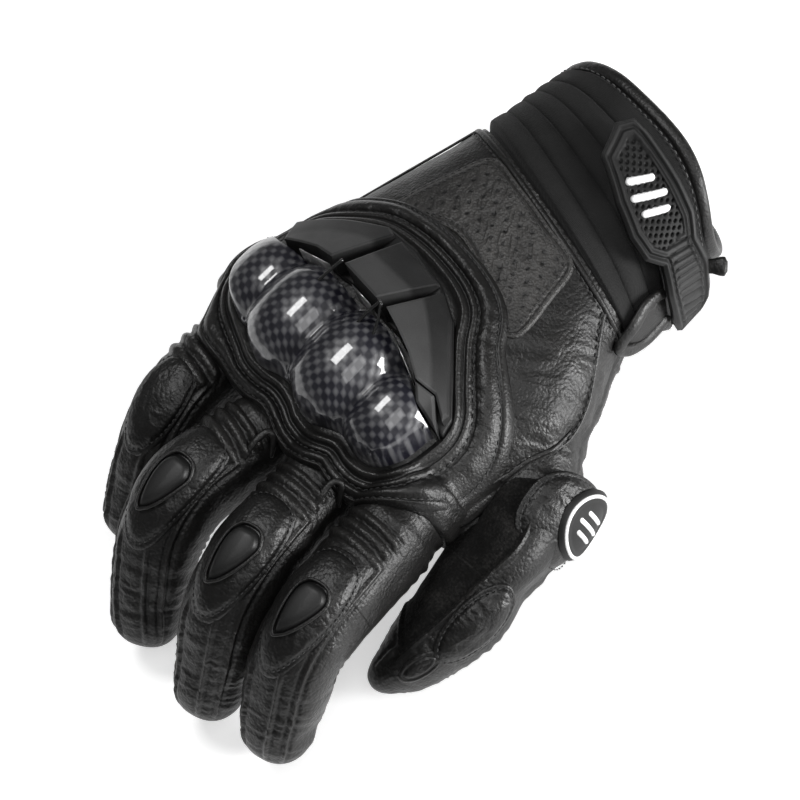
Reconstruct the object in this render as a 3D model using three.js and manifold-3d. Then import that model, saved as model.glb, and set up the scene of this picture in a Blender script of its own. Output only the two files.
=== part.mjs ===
// Right-hand short-cuff riding glove, palm down, fingers slightly curled.
// Millimetres. +Y to the fingertips, +X to the little finger, +Z out of the back of the hand.
// Origin: centre of the flat underside of the palm heel patch (the glove rests on it at z = 0).
// Each moving part is its own closed body: hand, finger and thumb stalls, cuff and closure strap.
import * as THREE from "three";
import { mergeVertices } from "three/addons/utils/BufferGeometryUtils.js";
import Module from "manifold-3d";

const wasm = await Module();
wasm.setup();

// ---------------------------------------------------------------- driving dimensions
const WALL = 1.8;                 // leather plus lining
const GAP = 0.3;                  // assembly clearance between neighbouring pieces
const SKIN_GAP = 0.6;             // clearance under pieces that follow a curved, faceted skin
const RING_POINTS = 28;           // facets round the hand and the cuff
const FINGER_POINTS = 14;         // facets round a finger
const HAND_START = -5;            // wrist edge of the hand shell
const HAND_END = 90;              // wall between the finger roots
const PINKY_SETBACK = 11.5;       // the hand is shorter on the little finger side
const PINKY_SETBACK_X = 26.2;
const SPLIT_Z = 27;               // height of the seam between back and palm
const KNUCKLE_FLEX = 9;           // half length of the flexible sleeve at a knuckle
const MIDDLE_FLEX = 9;            // half length of the flexible sleeve at a middle joint
const CUFF_START = -19;           // hand edge of the cuff
const CUFF_END = -44.5;           // outer edge of the cuff, before the binding
const BINDING = 3.4;              // width of the rolled binding

// Cross-sections of hand and cuff along the arm:
// v station, x of thumb edge, x of little finger edge, z of palm, z of back, skew of the ring
const BODY = [
  [-54, -41.5, 33, 2.6, 56.5, -0.11],
  [-46, -41.5, 33.5, 2.4, 56.2, -0.13],
  [-36, -42, 34.5, 2.2, 55.4, -0.18],
  [-24, -42.5, 35.5, 2.0, 54.6, -0.25],
  [-12, -43.5, 37.5, 2.0, 54.2, -0.3],
  [0, -46, 41, 2.0, 54.6, -0.25],
  [14, -50.5, 46, 2.0, 55.2, -0.15],
  [30, -56, 52, 2.6, 55.8, -0.06],
  [46, -58.5, 58.5, 3.8, 56.2, 0],
  [62, -55, 62.5, 5.4, 56, 0],
  [78, -53, 63.5, 7.0, 55, 0],
  [92, -52.5, 61, 9.5, 53.4, 0],
];
const BODY_POWER = 2.5;           // superellipse power of the hand section
const FINGER_POWER = 2.35;

// Fingers: centre line from inside the hand to the tip, with the two pivots on it.
// size rows: distance measure 0 = knuckle, 1 = middle joint, 2 = tip; width, height
const FINGERS = {
  index: {
    line: [[-39.5, 80, 36], [-41, 101, 37], [-44.5, 129, 40.5], [-46, 146, 36], [-48.5, 160, 21.5],
      [-50.3, 169.3, 9.5]],
    size: [[26, 31], [25, 25.5], [20.5, 19.5]],
  },
  middle: {
    line: [[-12.6, 80, 37], [-13.5, 106, 38], [-17, 131, 42.5], [-19, 147.5, 38], [-22, 163, 22.5],
      [-24.4, 174, 9.5]],
    size: [[26, 31.5], [25.5, 26], [20.5, 19.5]],
  },
  ring: {
    line: [[13.6, 80, 36], [14.5, 104, 37], [16.8, 129, 41], [15.8, 145, 36.5], [11.5, 160, 22],
      [6.5, 170.3, 9.5]],
    size: [[25.5, 31], [25, 25.5], [20, 19]],
  },
  pinky: {
    line: [[41, 68, 33], [44, 91, 34], [44.5, 110, 36], [43, 124, 31.5], [41, 138, 20], [38.5, 150, 7.5]],
    size: [[25.5, 30], [22.5, 22.5], [17.5, 17]],
  },
  thumb: {
    line: [[-33, 27, 27], [-73, 75, 21.5], [-73.5, 88, 19.5], [-71.5, 103, 16], [-66, 119, 12.5],
      [-58, 134, 9.5]],
    size: [[31, 30], [30, 26.5], [21, 17]],
  },
};
const KNUCKLE_AT = 1;             // index of the knuckle pivot in each line
const MIDDLE_AT = 3;              // index of the middle joint pivot in each line
const TIP_ROUND = 10;             // length of the rounded finger end

// Knuckle armour heights above the leather
const FOAM = 3.2;
const SHELL_EDGE = 2.4;
const BUMPS = [                   // centre x, centre y, radius across, radius along, height above the edge
  [36, 69, 12.5, 13, 9.5],
  [13.5, 73, 13.2, 15, 13],
  [-10.5, 76, 13.2, 16, 15],
  [-29.5, 77.5, 11.5, 12.5, 13],
];

// ---------------------------------------------------------------- small helpers
const clamp = (value, low, high) => Math.min(high, Math.max(low, value));
const mix = (a, b, t) => a + (b - a) * t;
const meanPoint = (ring) => [0, 1, 2].map((k) => ring.reduce((sum, q) => sum + q[k], 0) / ring.length);

// smooth interpolation of a table whose first column is the position
function lookUp(table, position, column) {
  const last = table.length - 1;
  let i = 0;
  while (i < last - 1 && position > table[i + 1][0]) i += 1;
  const slope = (k) => {
    const a = table[Math.max(0, k - 1)];
    const b = table[Math.min(last, k + 1)];
    return (b[column] - a[column]) / (b[0] - a[0]);
  };
  const span = table[i + 1][0] - table[i][0];
  const t = clamp((position - table[i][0]) / span, 0, 1);
  const t2 = t * t;
  const t3 = t2 * t;
  return (2 * t3 - 3 * t2 + 1) * table[i][column]
    + (t3 - 2 * t2 + t) * span * slope(i)
    + (-2 * t3 + 3 * t2) * table[i + 1][column]
    + (t3 - t2) * span * slope(i + 1);
}

// one point of a superellipse with half axes a and b
function superPoint(angle, a, b, power) {
  const c = Math.cos(angle);
  const s = Math.sin(angle);
  return [
    a * Math.sign(c) * Math.abs(c) ** (2 / power),
    b * Math.sign(s) * Math.abs(s) ** (2 / power),
  ];
}

// ---------------------------------------------------------------- closed meshes from rings
// rings all have the same number of points; mode "loop" joins the last ring to the first,
// "solid" closes both ends with fans, "thimble" closes nothing but the two given poles
function ringsGeometry(rings, { loop = false, startPole = null, endPole = null } = {}) {
  const count = rings[0].length;
  const positions = rings.flat(2);
  const indices = [];
  const joins = loop ? rings.length : rings.length - 1;
  for (let r = 0; r < joins; r += 1) {
    const a = r * count;
    const b = ((r + 1) % rings.length) * count;
    for (let i = 0; i < count; i += 1) {
      const j = (i + 1) % count;
      indices.push(a + i, a + j, b + j, a + i, b + j, b + i);
    }
  }
  const addPole = (pole, base, flip) => {
    const apex = positions.length / 3;
    positions.push(...pole);
    for (let i = 0; i < count; i += 1) {
      const j = (i + 1) % count;
      if (flip) indices.push(apex, base + j, base + i);
      else indices.push(apex, base + i, base + j);
    }
  };
  if (startPole) addPole(startPole, 0, true);
  if (endPole) addPole(endPole, (rings.length - 1) * count, false);
  const geometry = new THREE.BufferGeometry();
  geometry.setAttribute("position", new THREE.Float32BufferAttribute(positions, 3));
  geometry.setIndex(indices);
  return outward(geometry);
}

// flips the winding when the signed volume comes out negative
function outward(geometry) {
  const p = geometry.attributes.position;
  const index = geometry.index.array;
  const a = new THREE.Vector3();
  const b = new THREE.Vector3();
  const c = new THREE.Vector3();
  let volume = 0;
  for (let i = 0; i < index.length; i += 3) {
    a.fromBufferAttribute(p, index[i]);
    b.fromBufferAttribute(p, index[i + 1]);
    c.fromBufferAttribute(p, index[i + 2]);
    volume += a.dot(b.cross(c));
  }
  if (volume < 0) {
    for (let i = 0; i < index.length; i += 3) {
      [index[i + 1], index[i + 2]] = [index[i + 2], index[i + 1]];
    }
  }
  return geometry;
}

function toSolid(geometry) {
  return new wasm.Manifold(new wasm.Mesh({
    numProp: 3,
    vertProperties: new Float32Array(geometry.attributes.position.array),
    triVerts: new Uint32Array(geometry.index.array),
  }));
}

function toGeometry(solid) {
  const mesh = solid.getMesh();
  const geometry = new THREE.BufferGeometry();
  geometry.setAttribute("position", new THREE.BufferAttribute(new Float32Array(mesh.vertProperties), 3));
  geometry.setIndex(new THREE.BufferAttribute(new Uint32Array(mesh.triVerts), 1));
  return geometry;
}

function boxSolid(low, high) {
  const corners = [];
  for (let i = 0; i < 8; i += 1) {
    corners.push([i & 1 ? high[0] : low[0], i & 2 ? high[1] : low[1], i & 4 ? high[2] : low[2]]);
  }
  const lowRing = [corners[0], corners[1], corners[3], corners[2]];
  const highRing = [corners[4], corners[5], corners[7], corners[6]];
  const poles = { startPole: meanPoint(lowRing), endPole: meanPoint(highRing) };
  return toSolid(ringsGeometry([lowRing, highRing], poles));
}

// ---------------------------------------------------------------- the hand and cuff skin
function bodySection(v) {
  const left = lookUp(BODY, v, 1);
  const right = lookUp(BODY, v, 2);
  const low = lookUp(BODY, v, 3);
  const high = lookUp(BODY, v, 4);
  return {
    x: (left + right) / 2,
    z: (low + high) / 2,
    halfWidth: (right - left) / 2,
    halfHeight: (high - low) / 2,
    skew: lookUp(BODY, v, 5),
  };
}

// point of the skin at angle (0 little finger side, 90 back, 180 thumb side) and station v
function bodyPoint(angle, v, offset = 0) {
  const s = bodySection(v);
  const [dx, dz] = superPoint(angle, s.halfWidth + offset, s.halfHeight + offset, BODY_POWER);
  return [s.x + dx, v + s.skew * dx, s.z + dz];
}

function bodyRing(v, offset = 0, points = RING_POINTS) {
  const ring = [];
  for (let i = 0; i < points; i += 1) ring.push(bodyPoint((i / points) * 2 * Math.PI, v, offset));
  return ring;
}

// height of the skin over (x, y); side +1 is the back, -1 the palm
function skinHeight(x, y, side = 1) {
  let v = y;
  for (let i = 0; i < 6; i += 1) {
    const s = bodySection(v);
    v = y - s.skew * (x - s.x);
  }
  const s = bodySection(v);
  const u = clamp(Math.abs((x - s.x) / s.halfWidth), 0, 0.995);
  return s.z + side * s.halfHeight * (1 - u ** BODY_POWER) ** (1 / BODY_POWER);
}

// ---------------------------------------------------------------- finger skins
class Finger {
  constructor({ line, size }) {
    this.curve = new THREE.CatmullRomCurve3(line.map((p) => new THREE.Vector3(...p)), false, "centripetal");
    this.curve.arcLengthDivisions = 400;
    this.length = this.curve.getLength();
    this.size = size;
    this.knuckle = this.lengthTo(KNUCKLE_AT / (line.length - 1));
    this.middle = this.lengthTo(MIDDLE_AT / (line.length - 1));
  }

  lengthTo(t) {
    const lengths = this.curve.getLengths(400);
    return lengths[Math.round(t * 400)];
  }

  frame(s) {
    const u = clamp(s / this.length, 0, 1);
    const centre = this.curve.getPointAt(u);
    const along = this.curve.getTangentAt(u).normalize();
    const side = new THREE.Vector3().crossVectors(along, new THREE.Vector3(0, 0, 1)).normalize();
    const up = new THREE.Vector3().crossVectors(side, along).normalize();
    return { centre, along, side, up };
  }

  halfSize(s) {
    const rows = [
      [this.knuckle, ...this.size[0]],
      [this.middle, ...this.size[1]],
      [this.length, ...this.size[2]],
    ];
    const at = clamp(s, this.knuckle, this.length);
    return [lookUp(rows, at, 1) / 2, lookUp(rows, at, 2) / 2];
  }

  // scale is 1 along the stall and shrinks over the rounded end
  point(s, angle, offset = 0, scale = 1) {
    const { centre, side, up } = this.frame(s);
    const [a, b] = this.halfSize(s);
    const [dx, dz] = superPoint(angle, (a + offset) * scale, (b + offset) * scale, FINGER_POWER);
    return centre.clone().addScaledVector(side, dx).addScaledVector(up, dz).toArray();
  }

  ring(s, offset = 0, scale = 1) {
    const ring = [];
    for (let i = 0; i < FINGER_POINTS; i += 1) {
      ring.push(this.point(s, (i / FINGER_POINTS) * 2 * Math.PI, offset, scale));
    }
    return ring;
  }

  rings(from, to, count, offset = 0) {
    const rings = [];
    for (let i = 0; i < count; i += 1) rings.push(this.ring(mix(from, to, i / (count - 1)), offset));
    return rings;
  }

  // open tube between two stations
  tube(from, to, count) {
    const outer = this.rings(from, to, count);
    const inner = this.rings(from, to, count, -WALL).reverse();
    return ringsGeometry([...outer, ...inner], { loop: true });
  }

  solid(from, to, count, offset = 0) {
    const rings = this.rings(from, to, count, offset);
    return toSolid(ringsGeometry(rings, {
      startPole: this.frame(from).centre.toArray(),
      endPole: this.frame(to).centre.toArray(),
    }));
  }

  // closed, rounded end with an open root
  thimble(from) {
    const skin = (offset, end) => {
      const rings = this.rings(from, this.length - TIP_ROUND, 3, offset);
      for (const degrees of [30, 60]) {
        const angle = THREE.MathUtils.degToRad(degrees);
        const s = this.length - TIP_ROUND + (TIP_ROUND + end) * Math.sin(angle);
        rings.push(this.ring(s, offset, Math.cos(angle) ** 0.62));
      }
      return rings;
    };
    const outer = skin(0, 0);
    const inner = skin(-WALL, -WALL);
    const pole = this.frame(this.length).centre.toArray();
    const innerPole = this.frame(this.length - WALL).centre.toArray();
    return ringsGeometry([...outer.reverse(), ...inner], { startPole: pole, endPole: innerPole });
  }
}

// ---------------------------------------------------------------- pads and panels
// outline: corner list; returns evenly spaced points on the closed line through them
function outlinePoints(corners, count, round = true) {
  const curve = round
    ? new THREE.CatmullRomCurve3(corners.map(([x, y]) => new THREE.Vector3(x, y, 0)), true, "centripetal")
    : new THREE.CurvePath();
  if (!round) {
    corners.forEach(([x, y], i) => {
      const [nx, ny] = corners[(i + 1) % corners.length];
      curve.add(new THREE.LineCurve3(new THREE.Vector3(x, y, 0), new THREE.Vector3(nx, ny, 0)));
    });
  }
  const points = [];
  for (let i = 0; i < count; i += 1) {
    const p = curve.getPointAt(i / count);
    points.push([p.x, p.y]);
  }
  return points;
}

function ovalCorners(cx, cy, rx, ry, count = 12, power = 2) {
  const corners = [];
  for (let i = 0; i < count; i += 1) {
    const [dx, dy] = superPoint((i / count) * 2 * Math.PI, rx, ry, power);
    corners.push([cx + dx, cy + dy]);
  }
  return corners;
}

// solid plate over a star-shaped outline; place(u, v, top, radius) gives the point in space
function plate(outline, centre, radii, place) {
  const at = (radius, top) => outline.map(([u, v]) => (
    place(mix(centre[0], u, radius), mix(centre[1], v, radius), top, radius)));
  const under = radii.map((radius) => at(radius, false));
  const over = radii.map((radius) => at(radius, true)).reverse();
  return ringsGeometry([...under, ...over], {
    startPole: place(centre[0], centre[1], false, 0),
    endPole: place(centre[0], centre[1], true, 0),
  });
}

// flat ring between an outline and the same outline scaled about the centre
function band(outline, centre, inside, place) {
  const at = (radius, top) => outline.map(([u, v]) => (
    place(mix(centre[0], u, radius), mix(centre[1], v, radius), top, radius)));
  const middle = (1 + inside) / 2;
  return ringsGeometry([at(1, false), at(1, true), at(middle, true), at(inside, true), at(inside, false),
    at(middle, false)], { loop: true });
}

// pad lying on a finger; u = distance round the skin from its crown, v = distance along from centreAt
function onFinger(finger, centreAt, crownDegrees, lift, thickness, crown = 0.35) {
  return (u, v, top, radius) => {
    const s = centreAt + v;
    const [a, b] = finger.halfSize(s);
    const angle = THREE.MathUtils.degToRad(crownDegrees) - u / ((a + b) / 2);
    const swell = 1 - (1 - crown) * radius ** 4;
    return finger.point(s, angle, lift + (top ? thickness * swell : 0));
  };
}

// ---------------------------------------------------------------- materials
const LEATHER = [0x17181a, 0.58, 0];
const SOFT_LEATHER = [0x1c1d1f, 0.68, 0];
const SUEDE = [0x3a3b3c, 0.95, 0];
const KNIT = [0x303336, 0.9, 0];
const CARBON = [0x1a1f2b, 0.12, 0];
const HARD = [0x35383c, 0.55, 0];
const RUBBER = [0x2b2d30, 0.6, 0];
const MESH = [0x9a9da1, 0.4, 0.8];
const HOOK = [0x101010, 0.9, 0];

const glove = new THREE.Group();
glove.name = "glove";

function add(name, geometry, [color, roughness, metalness]) {
  const material = new THREE.MeshStandardMaterial({ color, roughness, metalness });
  const mesh = new THREE.Mesh(geometry, material);
  mesh.name = name;
  glove.add(mesh);
}

// ---------------------------------------------------------------- hand shell
const fingers = Object.fromEntries(Object.entries(FINGERS).map(([name, data]) => [name, new Finger(data)]));

function handBlock(offset, start, end) {
  const stations = [start, 12, 30, 48, 68, end];
  const rings = stations.map((v) => bodyRing(v, offset));
  const centre = (v) => {
    const s = bodySection(v);
    return [s.x, v, s.z];
  };
  const block = toSolid(ringsGeometry(rings, { startPole: centre(start), endPole: centre(end) }));
  const far = 200;
  const corner = boxSolid(
    [PINKY_SETBACK_X + offset, HAND_END - PINKY_SETBACK + offset, -far],
    [far, far, far],
  );
  return block.subtract(corner);
}

let outerHand = handBlock(0, HAND_START, HAND_END);
let grownHand = handBlock(GAP, HAND_START - 3, HAND_END + 3);
let innerHand = handBlock(-WALL, HAND_START - 6, HAND_END - WALL);
for (const finger of Object.values(fingers)) {
  const end = finger.knuckle - KNUCKLE_FLEX - GAP;
  outerHand = outerHand.add(finger.solid(2, end, 4));
  grownHand = grownHand.add(finger.solid(2, end + 4, 4, GAP));
  innerHand = innerHand.add(finger.solid(0, end + 4, 4, -WALL));
}
const handShell = outerHand.subtract(innerHand);
const FAR = 300;
const backHalf = boxSolid([-FAR, -FAR, SPLIT_Z + GAP / 2], [FAR, FAR, FAR]);
const palmHalf = boxSolid([-FAR, -FAR, -FAR], [FAR, FAR, SPLIT_Z - GAP / 2]);
add("back_panel", toGeometry(handShell.intersect(backHalf)), LEATHER);
add("palm_panel", toGeometry(handShell.intersect(palmHalf)), SOFT_LEATHER);

// ---------------------------------------------------------------- palm pads, flat underneath
function palmPad(name, corners, centre, count) {
  const outline = outlinePoints(corners, count);
  const geometry = plate(outline, centre, [0.35, 0.7, 1], (x, y, top) => (
    [x, y, top ? skinHeight(x, y, -1) - 1 : 0]));
  add(name, geometry, SUEDE);
}
const heel = ovalCorners(2, 9, 27, 14, 12, 2.6).map(([x, y]) => [x, y - 0.22 * x]);
palmPad("palm_patch", heel, [2, 8.6], 20);
palmPad("palm_grip_patch", ovalCorners(2, 74, 36, 9, 12, 2.6), [2, 74], 20);

// ---------------------------------------------------------------- perforated panel on the back
const PANEL = [[20, -6], [4, -3.5], [-12, 0.5], [-26, 4.5], [-29.5, 17], [-31, 34], [-25, 36.5],
  [-12.5, 28.5], [8, 21], [23, 25], [33, 31], [33, 22], [27, 6]];
add("perforated_panel", plate(outlinePoints(PANEL, 28), [3, 9], [0.33, 0.67, 1], (x, y, top, radius) => (
  [x, y, skinHeight(x, y) + SKIN_GAP + (top ? 1.3 - 0.3 * radius : 0)])), LEATHER);

// ---------------------------------------------------------------- knuckle armour
const ARMOUR = [[9, 28], [-12, 36], [-31, 49], [-41, 60], [-42.5, 74], [-38, 87], [-28, 91.5],
  [-18, 90.5], [-5, 93], [9, 89.5], [21, 88.5], [31, 83], [41, 77.5], [49.5, 70], [51, 60], [47, 49],
  [36, 38.5], [23, 31]];
const ARMOUR_CENTRE = [3, 63];
const armourLine = outlinePoints(ARMOUR, 36);
const foamTop = (x, y) => skinHeight(x, y) + SKIN_GAP + FOAM;
const foam = toSolid(plate(armourLine.map(([x, y]) => [mix(3, x, 0.97), mix(63, y, 0.97)]), ARMOUR_CENTRE,
  [0.3, 0.6, 0.85, 1], (x, y, top, radius) => (
    [x, y, skinHeight(x, y) + (top ? SKIN_GAP + FOAM - 0.4 * radius ** 6 : -3)])));
add("knuckle_foam", toGeometry(foam.subtract(grownHand)), SOFT_LEATHER);

const SHELL = [[-39, 64], [-39.5, 76], [-35.5, 84.5], [-27.5, 88.5], [-19.5, 86.2], [-6, 89.5], [6.5, 86.2],
  [17, 85.5], [26, 80.5], [37, 77], [45, 70.5], [47, 62], [44, 53], [30, 54], [12, 58], [-6, 60], [-22, 62]];
const SHELL_CENTRE = [2, 75];
// everything below the foam's top face, with clearance; used to trim the parts that sit on it
const footLine = armourLine.map(([x, y]) => [mix(3, x, 0.97), mix(63, y, 0.97)]);
const underArmour = toSolid(plate(footLine, ARMOUR_CENTRE, [0.3, 0.6, 0.85, 1, 1.3], (x, y, top, radius) => (
  [x, y, top ? foamTop(x, y) + GAP - (radius > 1 ? 6 : 0) : 10])));
// the shell stops short of the scoop along this straight line, leaving the intake channel
const rearLine = (x) => 64.4 - 0.192 * x;
const rearCorners = (z) => [[-80, 0, z], [-80, rearLine(-80), z], [80, rearLine(80), z], [80, 0, z]];
const rearCut = toSolid(ringsGeometry([rearCorners(0), rearCorners(150)], {
  startPole: meanPoint(rearCorners(0)),
  endPole: meanPoint(rearCorners(150)),
}));
let shell = toSolid(plate(outlinePoints(SHELL, 36), SHELL_CENTRE, [0.4, 0.8, 1], (x, y, top) => (
  [x, y, foamTop(x, y) + (top ? GAP + SHELL_EDGE : -2)])));
for (const [cx, cy, rx, ry, height] of BUMPS) {
  const dome = new THREE.SphereGeometry(1, 16, 12);
  dome.rotateX(Math.PI / 2);
  dome.scale(rx, ry, height + SHELL_EDGE);
  dome.translate(cx, cy, foamTop(cx, cy) + GAP);
  dome.deleteAttribute("normal");
  dome.deleteAttribute("uv");
  shell = shell.add(toSolid(mergeVertices(dome, 0.001)));
}
const footRing = (z) => footLine.map(([x, y]) => [x, y, z]);
const footPrism = toSolid(ringsGeometry([footRing(0), footRing(150)], {
  startPole: meanPoint(footRing(0)),
  endPole: meanPoint(footRing(150)),
}));
shell = shell.intersect(footPrism).subtract(underArmour).subtract(rearCut);
add("knuckle_shell", toGeometry(shell), CARBON);

// scoop cover: three sloping facets on one base, parted by grooves
// rows: rim points x, y, height of the top above the foam; the rear rows are low, the front rows high
const SCOOP_FACETS = [
  [[21.5, 56, 14.5], [44, 51.8, 7.5], [44.8, 47.5, 4], [35, 40, 3.2], [13.5, 32.6, 3]],
  [[19, 56.4, 16], [-7.5, 60.4, 18], [-7.2, 37.8, 3.4], [9.5, 31.4, 3]],
  [[-10, 60.8, 18], [-31.5, 66.5, 12.5], [-38.5, 61.5, 5.5], [-29.5, 50.5, 3.4], [-9.8, 39, 3.2]],
];
const SCOOP_BASE = [[22, 55.4], [43, 51.4], [44.2, 47.5], [35, 40.8], [9.5, 32.2], [-9, 39.6], [-29, 51.4],
  [-37.5, 61.5], [-31.5, 65.5], [-8, 59.8]];
let scoop = toSolid(plate(outlinePoints(SCOOP_BASE, 24, false), [4, 49], [0.5, 1], (x, y, top) => (
  [x, y, foamTop(x, y) + (top ? 2.6 : -2)])));
for (const corners of SCOOP_FACETS) {
  const under = corners.map(([x, y]) => [x, y, foamTop(x, y) - 2]);
  const over = corners.map(([x, y, lift]) => [x, y, foamTop(x, y) + GAP + lift]);
  const poles = { startPole: meanPoint(under), endPole: meanPoint(over) };
  scoop = scoop.add(toSolid(ringsGeometry([under, over], poles)));
}
add("scoop_cover", toGeometry(scoop.subtract(underArmour)), HARD);

// fine mesh behind each of the three intake openings
const VENTS = [[26, 57], [2, 61.2], [-19.5, 65.6]];
VENTS.forEach(([cx, cy], i) => {
  const corners = [[cx - 5, cy + 0.5], [cx + 5, cy - 1.5], [cx + 5, cy - 0.5], [cx - 5, cy + 1.5]];
  const outline = outlinePoints(corners, 8, false);
  add(`scoop_vent_${i + 1}`, plate(outline, [cx, cy], [1], (x, y, top) => (
    [x, y, foamTop(x, y) + GAP + (top ? 8 : 0)])), MESH);
});

// leather collar lying round the foot of the armour
const collarLine = armourLine.map(([x, y]) => [mix(3, x, 1.08), mix(63, y, 1.09)]);
const collar = toSolid(band(collarLine, ARMOUR_CENTRE, 0.92,
  (x, y, top, radius) => (
    [x, y, skinHeight(x, y) + (top ? SKIN_GAP + 2.8 - 20 * Math.abs(radius - 0.96) : -3)])));
add("knuckle_collar", toGeometry(collar.subtract(grownHand)), LEATHER);

// ---------------------------------------------------------------- fingers
const PAD_BACK = 12.5;            // pad centre behind the middle joint
for (const [name, finger] of Object.entries(fingers)) {
  const thumb = name === "thumb";
  const knuckleFlex = thumb ? 8 : KNUCKLE_FLEX;
  const flexEnd = finger.knuckle + knuckleFlex;
  const jointStart = finger.middle - MIDDLE_FLEX;
  add(`${name}_flex_panel`, finger.tube(finger.knuckle - KNUCKLE_FLEX, flexEnd, 3), SOFT_LEATHER);
  add(`${name}_base_stall`, finger.tube(flexEnd + GAP, jointStart - GAP, 3), LEATHER);
  add(`${name}_joint_panel`, finger.tube(jointStart, finger.middle + MIDDLE_FLEX, 3), SOFT_LEATHER);
  add(`${name}_tip_stall`, finger.thimble(finger.middle + MIDDLE_FLEX + GAP), LEATHER);
  if (thumb) continue;
  const small = name === "pinky" ? 0.82 : 1;
  const pad = outlinePoints(ovalCorners(0, 0, 9.5 * small, 10.5 * small, 12, 2.3), 14);
  add(`${name}_knuckle_pad`, plate(pad, [0, 0], [0.65, 1],
    onFinger(finger, finger.middle - PAD_BACK, 90, SKIN_GAP, 2.6)), LEATHER);
  if (name === "pinky") continue;
  const insert = outlinePoints([[0, 9.5], [-2.4, 5], [-4, 0], [-3.4, -5.4], [0, -8.2], [3.4, -5.4],
    [4, 0], [2.4, 5]], 12);
  add(`${name}_slider`, plate(insert, [0, 0], [0.6, 1],
    onFinger(finger, finger.middle - PAD_BACK, 90, SKIN_GAP + 2.6 + GAP, 1.5, 0.5)), HARD);
}

// ---------------------------------------------------------------- thumb trim
const thumb = fingers.thumb;
const CUP_AT = thumb.knuckle - 12;
const CUP_ANGLE = 145;
const cupLine = outlinePoints(ovalCorners(0, 0, 12.5, 10.5, 12, 2.2), 16);
const cupPlace = (lift, thickness, crown) => onFinger(thumb, CUP_AT, CUP_ANGLE, lift, thickness, crown);
add("thumb_knuckle_cup", plate(cupLine, [0, 0], [0.65, 1], cupPlace(SKIN_GAP, 5.4, 0.4)), LEATHER);
const discLine = (radius) => outlinePoints(ovalCorners(0, 0, radius, radius, 12), 12);
add("thumb_knuckle_disc", plate(discLine(5.6), [0, 0], [0.6, 1], cupPlace(6.4, 1.4, 0.8)), RUBBER);
add("thumb_disc_ring", band(discLine(7.2), [0, 0], 0.83, cupPlace(6.4, 1.0, 1)), SUEDE);
const jointPad = outlinePoints(ovalCorners(0, 0, 8.5, 10, 12, 2.2), 14);
add("thumb_joint_pad", plate(jointPad, [0, 0], [0.65, 1],
  onFinger(thumb, thumb.middle - 11.5, 140, SKIN_GAP, 2.4)), LEATHER);
const tipPatch = outlinePoints(ovalCorners(0, 0, 4.6, 6.4, 12), 12);
add("thumb_tip_patch", plate(tipPatch, [0, 0], [0.6, 1],
  onFinger(thumb, thumb.middle + 15, 150, SKIN_GAP, 1.2)), LEATHER);

// ---------------------------------------------------------------- wrist and cuff
function bodyTube(stations, outerOffset, innerOffset) {
  const outer = stations.map((v) => bodyRing(v, outerOffset));
  const inner = stations.map((v) => bodyRing(v, innerOffset)).reverse();
  return ringsGeometry([...outer, ...inner], { loop: true });
}
add("wrist_stretch_panel", bodyTube([CUFF_START + GAP, -12, HAND_START - GAP], 0, -WALL), KNIT);
add("cuff_sleeve", bodyTube([CUFF_END, -33, CUFF_START], 0, -WALL), KNIT);
add("cuff_lining", bodyTube([CUFF_END, -33, CUFF_START], -WALL - 0.5, -WALL - 1.3), SUEDE);
const bindingStations = [CUFF_END - BINDING, CUFF_END - BINDING / 2, CUFF_END - GAP];
add("cuff_binding", bodyTube(bindingStations, 0.5, -2.6), LEATHER);

// ---------------------------------------------------------------- closure
// u = distance round the cuff from the crown of the back towards the thumb side, v = station
const cuffRadius = 36;
function onCuff(lift, thickness, crown = 1) {
  return (u, v, top, radius) => {
    const angle = Math.PI / 2 + u / cuffRadius;
    const swell = 1 - (1 - crown) * radius ** 4;
    return bodyPoint(angle, v, lift + (top ? thickness * swell : 0));
  };
}
const LOOP_FIELD = [[4, -29], [4, -41], [20, -42], [37, -38], [37, -25], [20, -24]];
const loopLine = outlinePoints(LOOP_FIELD, 20, false);
add("loop_field", plate(loopLine, [20, -33], [0.5, 1], onCuff(SKIN_GAP, 0.9)), KNIT);
const HOOK_PATCH = [[8, -31], [8, -39], [20, -40], [34, -36], [34, -27], [20, -26]];
add("hook_patch", plate(outlinePoints(HOOK_PATCH, 20, false), [20, -33], [0.5, 1], onCuff(2.0, 0.8)), HOOK);
const STRAP = [[-1, -35], [6, -41.5], [20, -43.5], [40, -40], [60, -35], [74, -33], [74, -18], [60, -19],
  [40, -22],
  [20, -24.5], [5, -28]];
const strapLine = outlinePoints(STRAP, 32, false);
add("wrist_strap", plate(strapLine, [34, -31], [0.33, 0.67, 1], onCuff(3.4, 1.3)), LEATHER);
const TAB = [[-3.5, -35], [4, -42.5], [20, -45.5], [38, -42], [54, -37.5], [67, -34.5], [67, -20], [54, -20],
  [38, -21.5], [20, -23], [3, -26.5]];
const tabLine = outlinePoints(TAB, 32, false);
add("closure_tab", plate(tabLine, [32, -32], [0.33, 0.67, 1], onCuff(5.6, 2.3, 0.7)), RUBBER);
const emblem = outlinePoints(ovalCorners(24, -33.6, 8, 4.6, 6, 2), 12, false);
add("tab_emblem", plate(emblem, [24, -33.6], [0.6, 1], onCuff(8.5, 0.8)), SUEDE);

// keeper loop on the thumb side of the wrist and the small tag at the cuff edge
const KEEPER = [[56, -3.8], [56, 3], [66, 3.6], [77, 3], [77, -3.8], [66, -4]];
const keeperLine = outlinePoints(KEEPER, 16, false);
add("strap_keeper", plate(keeperLine, [66, -0.4], [0.5, 1], onCuff(SKIN_GAP, 2.2)), LEATHER);
const TAG = [[72, -38], [84, -37.5], [84, -46], [76, -45.5]];
add("strap_tag", plate(outlinePoints(TAG, 8, false), [79, -41.5], [1], onCuff(SKIN_GAP, 1.6)), LEATHER);

export default glove;
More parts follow.
